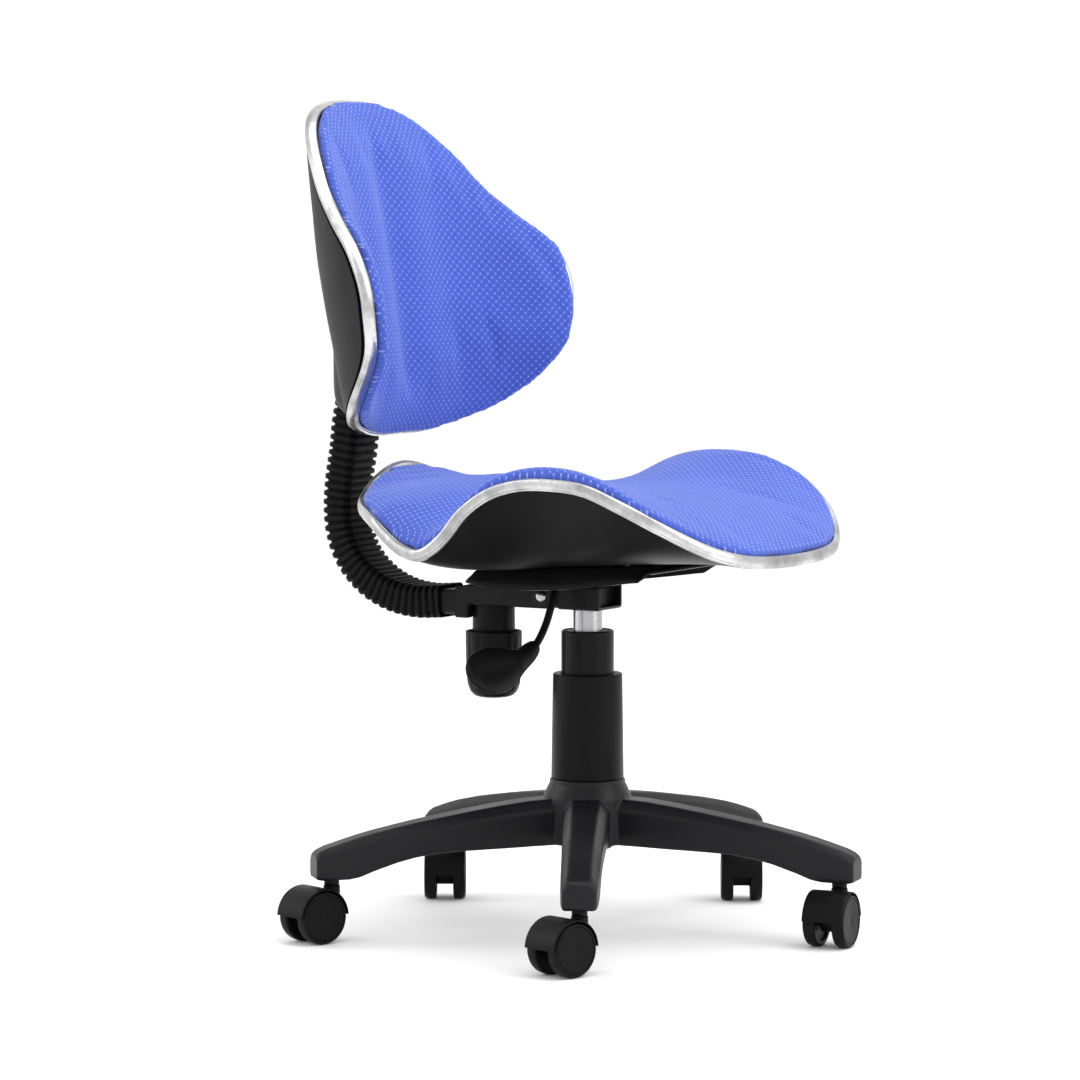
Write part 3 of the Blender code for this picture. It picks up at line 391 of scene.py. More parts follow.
NYLON = plastic("black_nylon", (0.0065, 0.0065, 0.0078), 0.42, 0.22, 900.0, 0.2)
CASTER_PLASTIC = plastic("caster_plastic", (0.004, 0.004, 0.0045), 0.4, 0.22, 900.0, 0.09)
SHELL_PLASTIC = plastic("shell_plastic", (0.0032, 0.0032, 0.0038), 0.44, 0.3, 620.0, 0.09)
RUBBER = plastic("black_rubber", (0.003, 0.003, 0.0034), 0.52, 0.25, 700.0, 0.09)
BOARD = plastic("inner_board", (0.03, 0.03, 0.032), 0.6, 0.3, 300.0, 0.3)
STEEL_BLACK = powder_coat("black_steel", (0.0038, 0.0038, 0.0044))
STEEL_BRIGHT = steel("bright_steel", (0.48, 0.48, 0.49), 0.24, (1, 1, 8))
CHROME_TRIM = chrome_strip()
FABRIC = mesh_fabric()
FLOOR = floor_paint()


# ---- mesh helpers


def finish_piece(item, material, body, replaced, angle=38):
    """The last steps of every piece. Its edges are sharp above this angle, in degrees."""
    item.data.materials.clear()
    item.data.materials.append(material)
    item.data.shade_smooth()
    item.data.set_sharp_from_angle(angle=math.radians(angle))
    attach(item, body)
    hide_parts(*replaced)


def link_mesh(name, mesh):
    item = bpy.data.objects.new(name, mesh)
    bpy.context.scene.collection.objects.link(item)
    return item


def from_bmesh(name, made):
    mesh = bpy.data.meshes.new(name)
    made.to_mesh(mesh)
    made.free()
    return link_mesh(name, mesh)


def settle(item):
    """Replaces the object's mesh with its evaluated one, and drops its modifiers."""
    bpy.context.view_layer.update()
    graph = bpy.context.evaluated_depsgraph_get()
    mesh = bpy.data.meshes.new_from_object(item.evaluated_get(graph))
    item.modifiers.clear()
    item.data = mesh
    return item


def modify(item, kind, **settings):
    """Adds one modifier and applies it."""
    step = item.modifiers.new(kind.lower(), kind)
    for key, value in settings.items():
        setattr(step, key, value)
    return settle(item)


def thicken(item, wall, offset=-1):
    return modify(item, "SOLIDIFY", thickness=wall, offset=offset, use_even_offset=False)


def soften(item, width, degrees):
    """Rounds the edges that are sharper than this."""
    angle = math.radians(degrees)
    return modify(item, "BEVEL", width=width, segments=2, limit_method="ANGLE", angle_limit=angle)


def combine(item, others, operation="UNION"):
    for other in others:
        modify(item, "BOOLEAN", operation=operation, solver="EXACT", object=other)
        bpy.data.objects.remove(other, do_unlink=True)


def merge(name, items):
    """Several meshes as one object, each left as it is."""
    made = bmesh.new()
    for item in items:
        mesh = item.data.copy()
        mesh.transform(item.matrix_world)
        made.from_mesh(mesh)
        bpy.data.meshes.remove(mesh)
        bpy.data.objects.remove(item, do_unlink=True)
    return from_bmesh(name, made)


def rounded(points, radius, steps=3):
    """A closed polyline with its corners rounded by arcs."""
    points = [np.array(p, float) for p in points]
    line = []
    for n, corner in enumerate(points):
        before = points[n - 1] - corner
        after = points[(n + 1) % len(points)] - corner
        near = min(radius, 0.45 * np.linalg.norm(before), 0.45 * np.linalg.norm(after))
        a = corner + before / np.linalg.norm(before) * near
        b = corner + after / np.linalg.norm(after) * near
        for k in range(steps + 1):
            u = k / steps
            line.append(tuple(a * (1 - u) ** 2 + corner * 2 * u * (1 - u) + b * u**2))
    return line


def loft(name, rings, ends="capped"):
    """Quads from ring to ring. The ends are capped, open or joined, or only the last is capped."""
    made = bmesh.new()
    loops = [[made.verts.new(point) for point in ring] for ring in rings]
    count = len(loops[0])
    pairs = list(zip(loops, loops[1:]))
    if ends == "joined":
        pairs.append((loops[-1], loops[0]))
    for a, b in pairs:
        for n in range(count):
            made.faces.new((a[n], a[(n + 1) % count], b[(n + 1) % count], b[n]))
    if ends == "capped":
        made.faces.new(list(reversed(loops[0])))
    if ends in ("capped", "last_capped"):
        made.faces.new(loops[-1])
    bmesh.ops.recalc_face_normals(made, faces=made.faces)
    return from_bmesh(name, made)


# Points this near the axis are merged after turning
NEAR_AXIS = 0.00002
WELD = 0.00006


def turned(name, profile, radius, steps=96, shape=None):
    """A closed profile of (radius, z) points turned about Z, its corners rounded.

    shape(radius, z, angle) may change the radius on the way around.
    """
    line = rounded(profile, radius)
    rings = []
    for n in range(steps):
        angle = math.tau * n / steps
        ring = []
        for r, z in line:
            r = max(shape(r, z, angle) if shape else r, NEAR_AXIS)
            ring.append((r * math.cos(angle), r * math.sin(angle), z))
        rings.append(ring)
    item = loft(name, rings, "joined")
    made = bmesh.new()
    made.from_mesh(item.data)
    bmesh.ops.remove_doubles(made, verts=made.verts, dist=WELD)
    bmesh.ops.recalc_face_normals(made, faces=made.faces)
    made.to_mesh(item.data)
    made.free()
    return item


def bar(name, radius, start, end, steps):
    """A round bar between two points."""
    start, end = Vector(start), Vector(end)
    along = end - start
    profile = [(0, 0), (radius, 0), (radius, along.length), (0, along.length)]
    item = turned(name, profile, 0.0002, steps)
    turn = UP.rotation_difference(along).to_matrix().to_4x4()
    item.data.transform(Matrix.Translation(start) @ turn)
    return item


def block(name, low, high):
    low, high = Vector(low), Vector(high)
    made = bmesh.new()
    shape = Matrix.Translation((low + high) / 2) @ Matrix.Diagonal((*(high - low), 1))
    bmesh.ops.create_cube(made, size=1, matrix=shape)
    return from_bmesh(name, made)


def smooth_line(points, steps, closed=False):
    """Points on a Catmull-Rom curve through the given ones."""
    knots = [np.array(p, float) for p in points]
    count = len(knots)
    line = []
    for n in range(count if closed else count - 1):
        a = knots[n]
        b = knots[(n + 1) % count]
        before = knots[n - 1] if closed or n > 0 else 2 * a - b
        after = knots[(n + 2) % count] if closed or n < count - 2 else 2 * b - a
        for k in range(steps):
            u = k / steps
            line.append(0.5 * (
                2 * a + (b - before) * u + (2 * before - 5 * a + 4 * b - after) * u**2
                + (3 * a - before - 3 * b + after) * u**3
            ))
    if not closed:
        line.append(knots[-1])
    return line


def closed_line(half):
    """A smooth closed line through half an outline and its mirror image in x = 0.

    Returns a function of t from 0 to 1, once around.
    """
    half = [np.array(point) for point in half]
    mirror = np.ones(len(half[0]))
    mirror[0] = -1
    knots = np.array(half + [point * mirror for point in half[-2:0:-1]])
    after = np.roll(knots, -1, axis=0)
    lengths = np.linalg.norm(after - knots, axis=1)
    before_lengths = np.roll(lengths, 1)
    slopes = (after - np.roll(knots, 1, axis=0)) / (lengths + before_lengths)[:, None]
    starts = np.concatenate([[0], np.cumsum(lengths)])

    def at(t):
        s = (t % 1.0) * starts[-1]
        n = min(int(np.searchsorted(starts, s, side="right")) - 1, len(knots) - 1)
        m = (n + 1) % len(knots)
        u = (s - starts[n]) / lengths[n]
        rise = slopes[n] * lengths[n]
        fall = slopes[m] * lengths[n]
        return (
            knots[n] * (2 * u**3 - 3 * u**2 + 1) + rise * (u**3 - 2 * u**2 + u)
            + knots[m] * (3 * u**2 - 2 * u**3) + fall * (u**3 - u**2)
        )

    return at


SEAT_LINE = closed_line(SEAT_HALF)
BACK_LINE = closed_line(BACK_HALF)


def skirt(made, inner, outer):
    """Adds the quads between two loops of a dish."""
    count = len(inner)
    for n in range(count):
        made.faces.new((inner[n], outer[n], outer[(n + 1) % count], inner[(n + 1) % count]))


def dish(made, place_point, around, rings):
    """Adds an open dish through place_point(t, reach), and returns its rim."""
    loops = []
    for k in range(1, rings + 1):
        reach = math.sin(math.pi / 2 * k / rings)
        loops.append([made.verts.new(place_point(n / around, reach)) for n in range(around)])
    middle = made.verts.new(place_point(0, 0))
    for n in range(around):
        made.faces.new((middle, loops[0][n], loops[0][(n + 1) % around]))
    for inner, outer in zip(loops, loops[1:]):
        skirt(made, inner, outer)
    return loops[-1]


def shell_form(name, place_point):
    """A moulded shell of one wall thickness, open on its concave side."""
    made = bmesh.new()
    dish(made, place_point, 160, 26)
    return thicken(from_bmesh(name, made), SHELL_WALL, 1)


def limited(value):
    return min(max(value, 0.0), 1.0)


def bell(offset, width, power=2):
    """1 at no offset, and falling away on both sides of it."""
    return math.exp(-((offset / width) ** power))


# ---- base and casters


def arm_ring(distance, low, high, half):
    """A section across an arm, along +X: flat on top between two chamfers."""
    chamfer = 0.36 * half
    drop = 0.18 * (high - low)
    section = [
        (-half * 0.92, low), (half * 0.92, low), (half, low + drop), (half, high - 1.3 * drop),
        (half - chamfer, high), (chamfer - half, high), (-half, high - 1.3 * drop),
        (-half, low + drop),
    ]
    return [(distance, y, z) for y, z in rounded(section, 0.0022, steps=3)]


def make_base():
    """The five-star base: hub and arms as one moulding, with its corners melted together."""
    hub = turned(
        "five_star_base",
        [
            (0.0256, 0.145), (0.0355, 0.145), (0.0362, 0.1425), (0.0358, 0.14),
            (0.0372, 0.1385), (0.0405, 0.131), (0.0418, 0.127), (0.044, 0.084),
            (0.0256, 0.084),
        ],
        0.0012, 128,
    )
    arms = []
    for angle in ARM_ANGLES:
        arm = loft("arm", [arm_ring(*s) for s in ARM_SECTIONS])
        arm.data.transform(Matrix.Rotation(angle, 4, "Z"))
        arms.append(arm)
    bore = bar("bore", 0.0256, (0, 0, 0.05), (0, 0, 0.2), 96)
    combine(hub, arms)
    combine(hub, [bore], "DIFFERENCE")
    modify(hub, "REMESH", mode="VOXEL", voxel_size=0.0012)
    modify(hub, "SMOOTH", factor=0.5, iterations=4)
    finish_piece(hub, NYLON, "base", ["base_star"], 180)


def hood_shape():
    """The caster's hood, its stem on the z axis and its axle along x, behind the stem."""
    middle = WHEEL_RADIUS
    half = HOOD_HALF_WIDTH

    def axle_bar(name, radius, start, end, steps):
        return bar(name, radius, (start, -TRAIL, middle), (end, -TRAIL, middle), steps)

    hood = turned(
        "hood",
        [
            (0.0, -half), (HOOD_RADIUS - 0.0005, -half), (HOOD_RADIUS, -half + 0.001),
            (HOOD_RADIUS, half - 0.001), (HOOD_RADIUS - 0.0005, half), (0.0, half),
        ],
        0.0006,
    )
    quarter = Matrix.Rotation(math.pi / 2, 4, "Y")
    hood.data.transform(Matrix.Translation((0, -TRAIL, middle)) @ quarter)
    cutters = [axle_bar("pocket", HOOD_POCKET, s * WEB_HALF_WIDTH, s * 0.03, 96) for s in (-1, 1)]
    cutters.append(block("below", (-0.05, -0.1, -0.02), (0.05, 0.1, middle + 0.0015)))
    combine(hood, cutters, "DIFFERENCE")
    web = axle_bar("web", 0.011, -WEB_HALF_WIDTH, WEB_HALF_WIDTH, 48)
    boss = turned(
        "boss",
        [(0, 0.0345), (0.0078, 0.0345), (0.0078, 0.0515), (0.007, 0.0525), (0, 0.0525)],
        0.0004, 48,
    )
    combine(hood, [web, boss])
    combine(hood, [bar("stem_bore", 0.006, (0, 0, 0.0364), (0, 0, 0.06), 32)], "DIFFERENCE")
    return soften(hood, 0.0004, 45)


def wheel_shape():
    """A wheel about z, its inner face low: a smooth cap, a shallow groove and a rounded tread."""
    width = WHEEL_OUTER - WHEEL_INNER
    radius = WHEEL_RADIUS
    return turned(
        "wheel",
        [
            (0.00002, width - 0.0014), (0.012, width - 0.001), (0.02, width - 0.0006),
            (0.021, width - 0.0006), (0.0214, width - 0.0012), (0.0219, width - 0.0002),
            (0.0233, width), (0.0243, width - 0.0012), (radius - 0.0002, width - 0.0035),
            (radius, width - 0.0055), (radius, 0.0012), (radius - 0.0009, 0),
            (0.0206, 0), (0.02, 0.0026), (0.0068, 0.0026), (0.0062, 0), (0.0034, 0),
            (0.0034, width - 0.0035), (0.00002, width - 0.0035),
        ],
        0.0004,
    )


def make_stem(n, place_at):
    stem = turned(
        f"stem_{n}",
        [
            (0, 0.081), (0.0055, 0.08), (0.0055, 0.0576), (0.0072, 0.0576),
            (0.0072, 0.0528), (0.0055, 0.0528), (0.0055, 0.037), (0, 0.037),
        ],
        0.0003, 48,
    )
    stem.data.transform(Matrix.Translation(place_at))
    finish_piece(stem, STEEL_BLACK, "base", [f"caster_stem_{n}"])


def make_casters():
    """Five twin-wheel casters, each turned its own way about its stem."""
    shapes = []
    for item in (hood_shape(), wheel_shape()):
        shapes.append(item.data)
        bpy.data.objects.remove(item, do_unlink=True)
    hood_mesh, wheel_mesh = shapes
    for n, (angle, turn) in enumerate(zip(ARM_ANGLES, CASTER_TURNS), start=1):
        place_at = Vector((STEM_CIRCLE * math.cos(angle), STEM_CIRCLE * math.sin(angle), 0))
        pivot = Matrix.Translation(place_at) @ Matrix.Rotation(turn, 4, "Z")
        cover = link_mesh(f"hood_{n}", hood_mesh.copy())
        cover.data.transform(pivot)
        finish_piece(cover, CASTER_PLASTIC, f"caster_{n}", [f"caster_hood_{n}"])
        make_stem(n, place_at)
        for side, word in ((-1, "left"), (1, "right")):
            name = f"wheel_{word}_{n}"
            rim = link_mesh(name, wheel_mesh.copy())
            hub_at = Matrix.Translation((side * WHEEL_INNER, -TRAIL, WHEEL_RADIUS))
            rim.data.transform(pivot @ hub_at @ Matrix.Rotation(side * math.pi / 2, 4, "Y"))
            finish_piece(rim, CASTER_PLASTIC, name, [f"caster_{name}"])


# ---- gas lift


def make_gas_lift():
    cover = turned(
        "column_sleeve",
        [
            (0.0318, 0.245), (0.033, 0.244), (0.0345, 0.1453), (0.0325, 0.1453),
            (0.031, 0.243), (0.0256, 0.243), (0.0256, 0.245),
        ],
        0.0006, 128,
    )
    finish_piece(cover, CASTER_PLASTIC, "base", ["column_cover"])
    tube = turned(
        "lift_tube",
        [
            (0.0238, 0.286), (0.025, 0.2848), (0.025, 0.08), (0.023, 0.078),
            (0.0056, 0.078), (0.0056, 0.081), (0.0225, 0.081), (0.0225, 0.286),
        ],
        0.0005,
    )
    finish_piece(tube, STEEL_BLACK, "base", ["gas_tube"])
    bush = turned(
        "lift_bush", [(0.022, 0.285), (0.022, 0.216), (0.0144, 0.216), (0.0144, 0.285)], 0.0006
    )
    finish_piece(bush, NYLON, "base", ["guide_bush"])
    rod = turned(
        "lift_cylinder",
        [
            (0.014, 0.322), (0.014, 0.092), (0.0056, 0.092), (0.0056, 0.097),
            (0.0115, 0.097), (0.0115, 0.316), (0.0043, 0.316), (0.0043, 0.322),
        ],
        0.0006,
    )
    finish_piece(rod, STEEL_BRIGHT, "seat", ["gas_cylinder"])


# ---- mechanism


def rise(y):
    """How much higher the seat's tilted underside is here than at the tray's rear end."""
    return SEAT_TILT * (TRAY_REAR - y)


def flange_low(y):
    """How far down the tray's flange reaches: deep beside the housing, shallow in front."""
    depths = [
        (-0.104, 0.35), (-0.098, 0.3411), (-0.055, 0.335), (-0.01, 0.3292),
        (0.03, 0.327), (0.061, 0.3264), (0.085, 0.33), (0.096, 0.3322),
    ]
    return float(np.interp(y, *zip(*depths)))


def tray_outline():
    """Points around the tray's rectangle, and which way is out at each of them."""
    half = TRAY_HALF_WIDTH
    corners = [(-half, TRAY_FRONT), (half, TRAY_FRONT), (half, TRAY_REAR), (-half, TRAY_REAR)]
    near = 0.0001
    found = []
    for n, corner in enumerate(corners):
        after = corners[(n + 1) % 4]
        for k in range(24):
            u = k / 24
            x, y = (a * (1 - u) + b * u for a, b in zip(corner, after))
            out_x = math.copysign(1.0, x) if abs(x) > half - near else 0.0
            out_y = math.copysign(1.0, y) if y > TRAY_REAR - near or y < TRAY_FRONT + near else 0.0
            found.append((x, y, out_x, out_y))
    return found


# The bend from the flange's edge to the flat top: the share of the flange's depth, then how far
# out and how far down
TRAY_BEND = [
    (1.0, 0.006, 0.0034), (0.55, 0.0042, 0.0034), (0.12, 0.0014, 0.0034),
    (0.0, 0.0, 0.0022), (0.0, -0.0012, 0.0006), (0.0, -0.0035, 0.0),
]


def tray_ring(share, spread, down):
    ring = []
    for x, y, out_x, out_y in tray_outline():
        far = y + out_y * spread
        high = TRAY_TOP + rise(far) - down
        level = high - max(high - flange_low(far), 0.0) * share
        ring.append((x + out_x * spread, far, level))
    return ring


def tray_lug(side):
    """The lug that the pivot pin goes through."""
    profile = rounded(
        [
            (0.025, 0.3455), (0.025, 0.313), (0.029, 0.309), (0.041, 0.309),
            (0.045, 0.313), (0.045, 0.3455),
        ],
        0.002,
    )
    faces = sorted((side * 0.0244, side * 0.0272))
    return loft("lug", [[(x, y, z) for y, z in profile] for x in faces])


def make_tray():
    """The pressed tray: a flat top with a rounded bend and a flared flange of varying depth."""
    tray = loft("mechanism_tray", [tray_ring(*bend) for bend in TRAY_BEND], "last_capped")
    thicken(tray, TRAY_WALL)
    combine(tray, [tray_lug(side) for side in (-1, 1)])
    soften(tray, 0.0005, 50)
    finish_piece(tray, STEEL_BLACK, "seat", ["seat_plate"])


def hex_bolt(name, top, low, hole):
    """A hexagon bolt with a washer face, its head down."""
    profile = [(0, low), (0.0058, low), (0.0064, low + 0.0008), (0.0064, hole), (0, hole)]
    head = turned("head", profile, 0.0003, 6)
    shank = bar("shank", 0.003, (0, 0, hole - 0.0005), (0, 0, top), 24)
    return merge(name, [head, shank])


def make_bolts():
    places = [(x, y) for x in (-0.045, 0.045) for y in (-0.07, 0.07)]
    for n, (x, y) in enumerate(places, start=1):
        bolt = hex_bolt(f"tray_bolt_{n}", 0.0065, -0.007, -0.0031)
        bolt.data.transform(Matrix.Translation((x, y, TRAY_TOP + rise(y))))
        finish_piece(bolt, STEEL_BRIGHT, "seat", [f"seat_bolt_{n}"])


def make_pivot_pin():
    pin = turned(
        "pivot_pin",
        [
            (0, 0.0312), (0.002, 0.0311), (0.004, 0.0303), (0.0052, 0.029), (0.0056, 0.0275),
            (0.004, 0.0275), (0.004, -0.0275), (0.0056, -0.0275), (0.0052, -0.029),
            (0.004, -0.0303), (0.002, -0.0311), (0, -0.0312),
        ],
        0.0003, 64,
    )
    pin.data.transform(Matrix.Translation((0, 0.035, 0.318)) @ Matrix.Rotation(math.pi / 2, 4, "Y"))
    finish_piece(pin, STEEL_BRIGHT, "seat", ["pivot_bolt"])


KNOB_FLUTES = 14


def flute(radius, z, angle):
    """Shallow flutes down the knob's wall, fading out at its rim and foot."""
    if radius < 0.0235:
        return radius
    fade = limited((0.2765 - z) / 0.004) * limited((z - 0.22) / 0.01)
    wave = math.cos(KNOB_FLUTES * angle)
    return radius - 0.0009 * fade * max(0.0, wave) ** 0.7


def make_knob():
    axis = Matrix.Translation((0, 0.104, 0))
    collar = turned(
        "spring_collar",
        [(0.0202, 0.3057), (0.0205, 0.279), (0.0186, 0.279), (0.0184, 0.3057)], 0.0005,
    )
    collar.data.transform(axis)
    finish_piece(collar, CASTER_PLASTIC, "back", ["knob_collar"])
    knob = turned(
        "preload_knob",
        [
            (0.0253, 0.28), (0.0268, 0.28), (0.0271, 0.279), (0.0268, 0.26),
            (0.0264, 0.24), (0.0252, 0.2292), (0.0228, 0.2222), (0.019, 0.218),
            (0.014, 0.2163), (0.00002, 0.216), (0.00002, 0.224), (0.005, 0.224),
            (0.005, 0.232), (0.0228, 0.232), (0.0228, 0.2375), (0.0253, 0.2375),
        ],
        0.0007, 168, flute,
    )
    knob.data.transform(axis)
    finish_piece(knob, CASTER_PLASTIC, "knob", ["tension_knob"])


LEVER_PATH = [
    (0.004, 0.0004, 0.3357), (-0.02, 0.0042, 0.3357), (-0.031, 0.0085, 0.3345),
    (-0.0385, 0.01, 0.329), (-0.048, 0.01, 0.317), (-0.06, 0.01, 0.297),
    (-0.074, 0.01, 0.282), (-0.09, 0.01, 0.2715), (-0.108, 0.01, 0.264),
]
# The grip along the lever: centre x, z, half height, half thickness, its tilt in degrees
GRIP_SECTIONS = [
    (-0.0835, 0.2752, 0.0062, 0.0062, 0), (-0.085, 0.2746, 0.0075, 0.0075, 0),
    (-0.093, 0.2712, 0.0092, 0.009, 5), (-0.101, 0.268, 0.0098, 0.0094, 12),
    (-0.11, 0.2652, 0.0112, 0.009, 20), (-0.12, 0.2636, 0.0145, 0.0082, 26),
    (-0.132, 0.2624, 0.019, 0.0074, 30), (-0.145, 0.2614, 0.0222, 0.0068, 32),
    (-0.158, 0.2606, 0.0232, 0.0064, 33), (-0.17, 0.26, 0.0222, 0.006, 33),
    (-0.18, 0.2594, 0.0196, 0.0055, 33), (-0.188, 0.2588, 0.0158, 0.0048, 33),
    (-0.194, 0.2584, 0.0112, 0.0038, 33), (-0.1975, 0.2581, 0.0062, 0.0024, 33),
    (-0.1986, 0.258, 0.002, 0.001, 33),
]


WIRE_RADIUS = 0.0036


def make_lever_rod():
    """The bent wire, swept along its path."""
    line = smooth_line(LEVER_PATH, 10)
    rings = []
    for n, point in enumerate(line):
        along = Vector(line[min(n + 1, len(line) - 1)] - line[max(n - 1, 0)]).normalized()
        side = along.cross(Vector((0, 1, 0.02))).normalized()
        other = along.cross(side)
        rings.append([
            Vector(point) + side * WIRE_RADIUS * math.cos(a) + other * WIRE_RADIUS * math.sin(a)
            for a in (math.tau * k / 24 for k in range(24))
        ])
    rod = loft("lever_wire", rings)
    finish_piece(rod, STEEL_BLACK, "lever", ["lever_rod"], 60)


def grip_ring(x, z, tall, thick, tilt):
    """An oval section of the grip, with a shallow dent in each side where it is tall."""
    lean = math.radians(tilt)
    ring = []
    for k in range(40):
        turn = math.tau * k / 40
        flat = math.copysign(abs(math.cos(turn)) ** 0.8, math.cos(turn)) * thick
        high = math.sin(turn) * tall
        dent = 0.0016 * bell(high + 0.002, 0.009) if tall > 0.015 else 0
        flat -= math.copysign(dent, flat)
        ring.append((
            x, 0.01 + flat * math.cos(lean) + high * math.sin(lean),
            z + high * math.cos(lean) - flat * math.sin(lean),
        ))
    return ring


def make_lever_grip():
    grip = loft("lever_paddle", [grip_ring(*s) for s in smooth_line(GRIP_SECTIONS, 4)])
    modify(grip, "SUBSURF", levels=1)
    finish_piece(grip, CASTER_PLASTIC, "lever", ["lever_grip"], 70)


# ---- back bar and bellows


def bar_section(half_width, half_depth, chamfer, radius):
    """The tube's chamfered rectangle, its corners rounded."""
    u = half_width - chamfer
    v = half_depth - chamfer
    corners = [
        (-half_width, -v), (-half_width, v), (-u, half_depth), (u, half_depth),
        (half_width, v), (half_width, -v), (u, -half_depth), (-u, -half_depth),
    ]
    return rounded(corners, radius, steps=2)


BAR_CURVE = np.array(smooth_line(BAR_LINE, 40))
BAR_SPANS = np.linalg.norm(np.diff(BAR_CURVE, axis=0), axis=1)
BAR_LENGTHS = np.concatenate([[0], np.cumsum(BAR_SPANS)])


def bar_place(length):
    """The point (y, z) of the bar's line at this length along it."""
    return np.array([np.interp(length, BAR_LENGTHS, axis) for axis in BAR_CURVE.T])


def bar_frames(lengths):
    """The bar's line at these lengths along it, each as a point and the way across its depth."""
    found = []
    for length in lengths:
        ahead = bar_place(length + 0.002) - bar_place(length - 0.002)
        along = Vector((0, *ahead)).normalized()
        found.append((Vector((0, *bar_place(length))), Vector((0, -along.z, along.y))))
    return found


def bar_ring(frame_at, section):
    point, across = frame_at
    return [point + Vector((u, 0, 0)) + across * v for u, v in section]


def make_bar():
    """The back's flat tube, bent up from under the seat and flattened behind the backrest."""
    rings = []
    for frame_at in bar_frames(np.linspace(0, BAR_LENGTHS[-1], 120)):
        share = np.interp(frame_at[0].z, BAR_FLATTENED, (1.0, 0.5))
        section = bar_section(BAR_HALF_WIDTH, BAR_HALF_DEPTH * share, BAR_CHAMFER * share, 0.001)
        rings.append(bar_ring(frame_at, section))
    tube = thicken(loft("back_tube", rings, "open"), BAR_WALL)
    finish_piece(tube, STEEL_BLACK, "back", ["back_bar"])


def make_bellows():
    """The ribbed sleeve over the bar: sharp-edged ribs, and a plain lip at its lower end."""
    lip = [(-0.0052, 0.8), (-0.0046, 1.0), (-0.0014, 1.0), (-0.0008, 0.85)]
    rib = [
        (0.0, 0.0), (0.1, 0.25), (0.22, 0.9), (0.3, 1.0), (0.62, 1.0), (0.72, 0.9),
        (0.82, 0.25), (0.92, 0.0),
    ]
    swells = [(BELLOWS_START + ahead, swell) for ahead, swell in lip]
    for n in range(int((BELLOWS_END - BELLOWS_START) / BELLOWS_PITCH)):
        swells += [(BELLOWS_START + (n + share) * BELLOWS_PITCH, swell) for share, swell in rib]
    rings = []
    for frame_at, (_, swell) in zip(bar_frames(length for length, _ in swells), swells):
        width = 0.0222 + 0.0026 * swell
        depth = 0.0131 + 0.0026 * swell
        chamfer = 0.0046 + 0.0004 * swell
        rings.append(bar_ring(frame_at, bar_section(width, depth, chamfer, 0.0012)))
    sleeve = thicken(loft("bellows", rings, "open"), BELLOWS_WALL)
    finish_piece(sleeve, RUBBER, "back", ["bar_bellows"], 50)


# ---- seat and back surfaces


def seat_dish(rim_z, reach):
    """The height of the surface that the pad lies on."""
    return SEAT_DISH_Z + (rim_z - SEAT_DISH_Z) * reach**SEAT_DISH_POWER


def seat_floor(y, rim_z, reach):
    """The pan's height: flat over the tray, and turning up to just under the rim."""
    share = (reach / SHELL_REACH) ** SEAT_FLOOR_POWER
    plane = SEAT_FLOOR_Z + rise(y)
    return plane + (rim_z - SEAT_RIM_DROP - plane) * share


def pad_crown(x, y):
    """The pad's height over its rim, less along the middle of its rear edge."""
    share = limited((y - 0.08) / 0.1)
    rear = share * share * (3 - 2 * share)
    side = 0.0045 * bell(y + 0.05, 0.06) * min(abs(x) / 0.15, 1.0)
    hollow = 0.004 + SEAT_PAD_HOLLOW * bell(x, 0.07)
    return SEAT_PAD_CROWN + side - hollow * rear


def seat_point(t, reach):
    """A point at this reach from the seat's middle, with the height of the rim beyond it."""
    x, y, rim_z = SEAT_LINE(t)
    return x * reach, SEAT_CENTRE[1] + (y - SEAT_CENTRE[1]) * reach, rim_z


def back_wrap(z):
    """How far the wings come forward at this height."""
    fuller = 0.009 * bell(z - 0.545, 0.035)
    flatter = 0.004 * bell(z - 0.645, 0.03)
    return BACK_WRAP + fuller - flatter


def back_slope(x, z):
    """How steeply the wings come forward here."""
    share = abs(x) / BACK_HALF_WIDTH
    return back_wrap(z) * BACK_WRAP_POWER / BACK_HALF_WIDTH * share ** (BACK_WRAP_POWER - 1)


def back_surface(x, z):
    """The y of the backrest's middle surface."""
    share = min(abs(x) / BACK_HALF_WIDTH, 1.0)
    return BACK_LOW_Y + BACK_RECLINE * (z - BACK_LOW_Z) - back_wrap(z) * share**BACK_WRAP_POWER


def back_place(t, reach):
    """The (x, z) at this reach from the backrest's middle."""
    x, z = BACK_LINE(t)
    return x * reach, BACK_CENTRE_Z + (z - BACK_CENTRE_Z) * reach


def back_point(t, reach, ahead):
    """A point of the backrest, ahead being its distance in front of the middle surface."""
    x, z = back_place(t, reach)
    tilt = math.atan(back_slope(x, z))
    side = math.copysign(1.0, x)
    return (
        x - side * ahead * math.sin(tilt),
        back_surface(x, z) - ahead * math.cos(tilt),
        z,
    )


def seat_shell_point(t, reach):
    x, y, rim_z = seat_point(t, reach * SHELL_REACH)
    return x, y, seat_floor(y, rim_z, reach * SHELL_REACH)


def back_shell_point(t, reach):
    """The cover's back, with a ridge along its spine that deepens to the foot."""
    x, z = back_place(t, reach)
    foot = limited((0.6 - z) / 0.107) ** 1.35
    crest = 0.0035 * limited((z - 0.65) / 0.05)
    ridge = (0.016 + 0.024 * foot + crest) * bell(x, 0.055, 4)
    deep = 0.0065 * (1 - reach**3) + ridge * (1 - reach**12)
    return back_point(t, reach * BACK_SHELL_REACH, -0.0062 - deep)


def make_seat_shell():
    shell = shell_form("seat_pan", seat_shell_point)
    finish_piece(shell, SHELL_PLASTIC, "seat", ["seat_shell"])


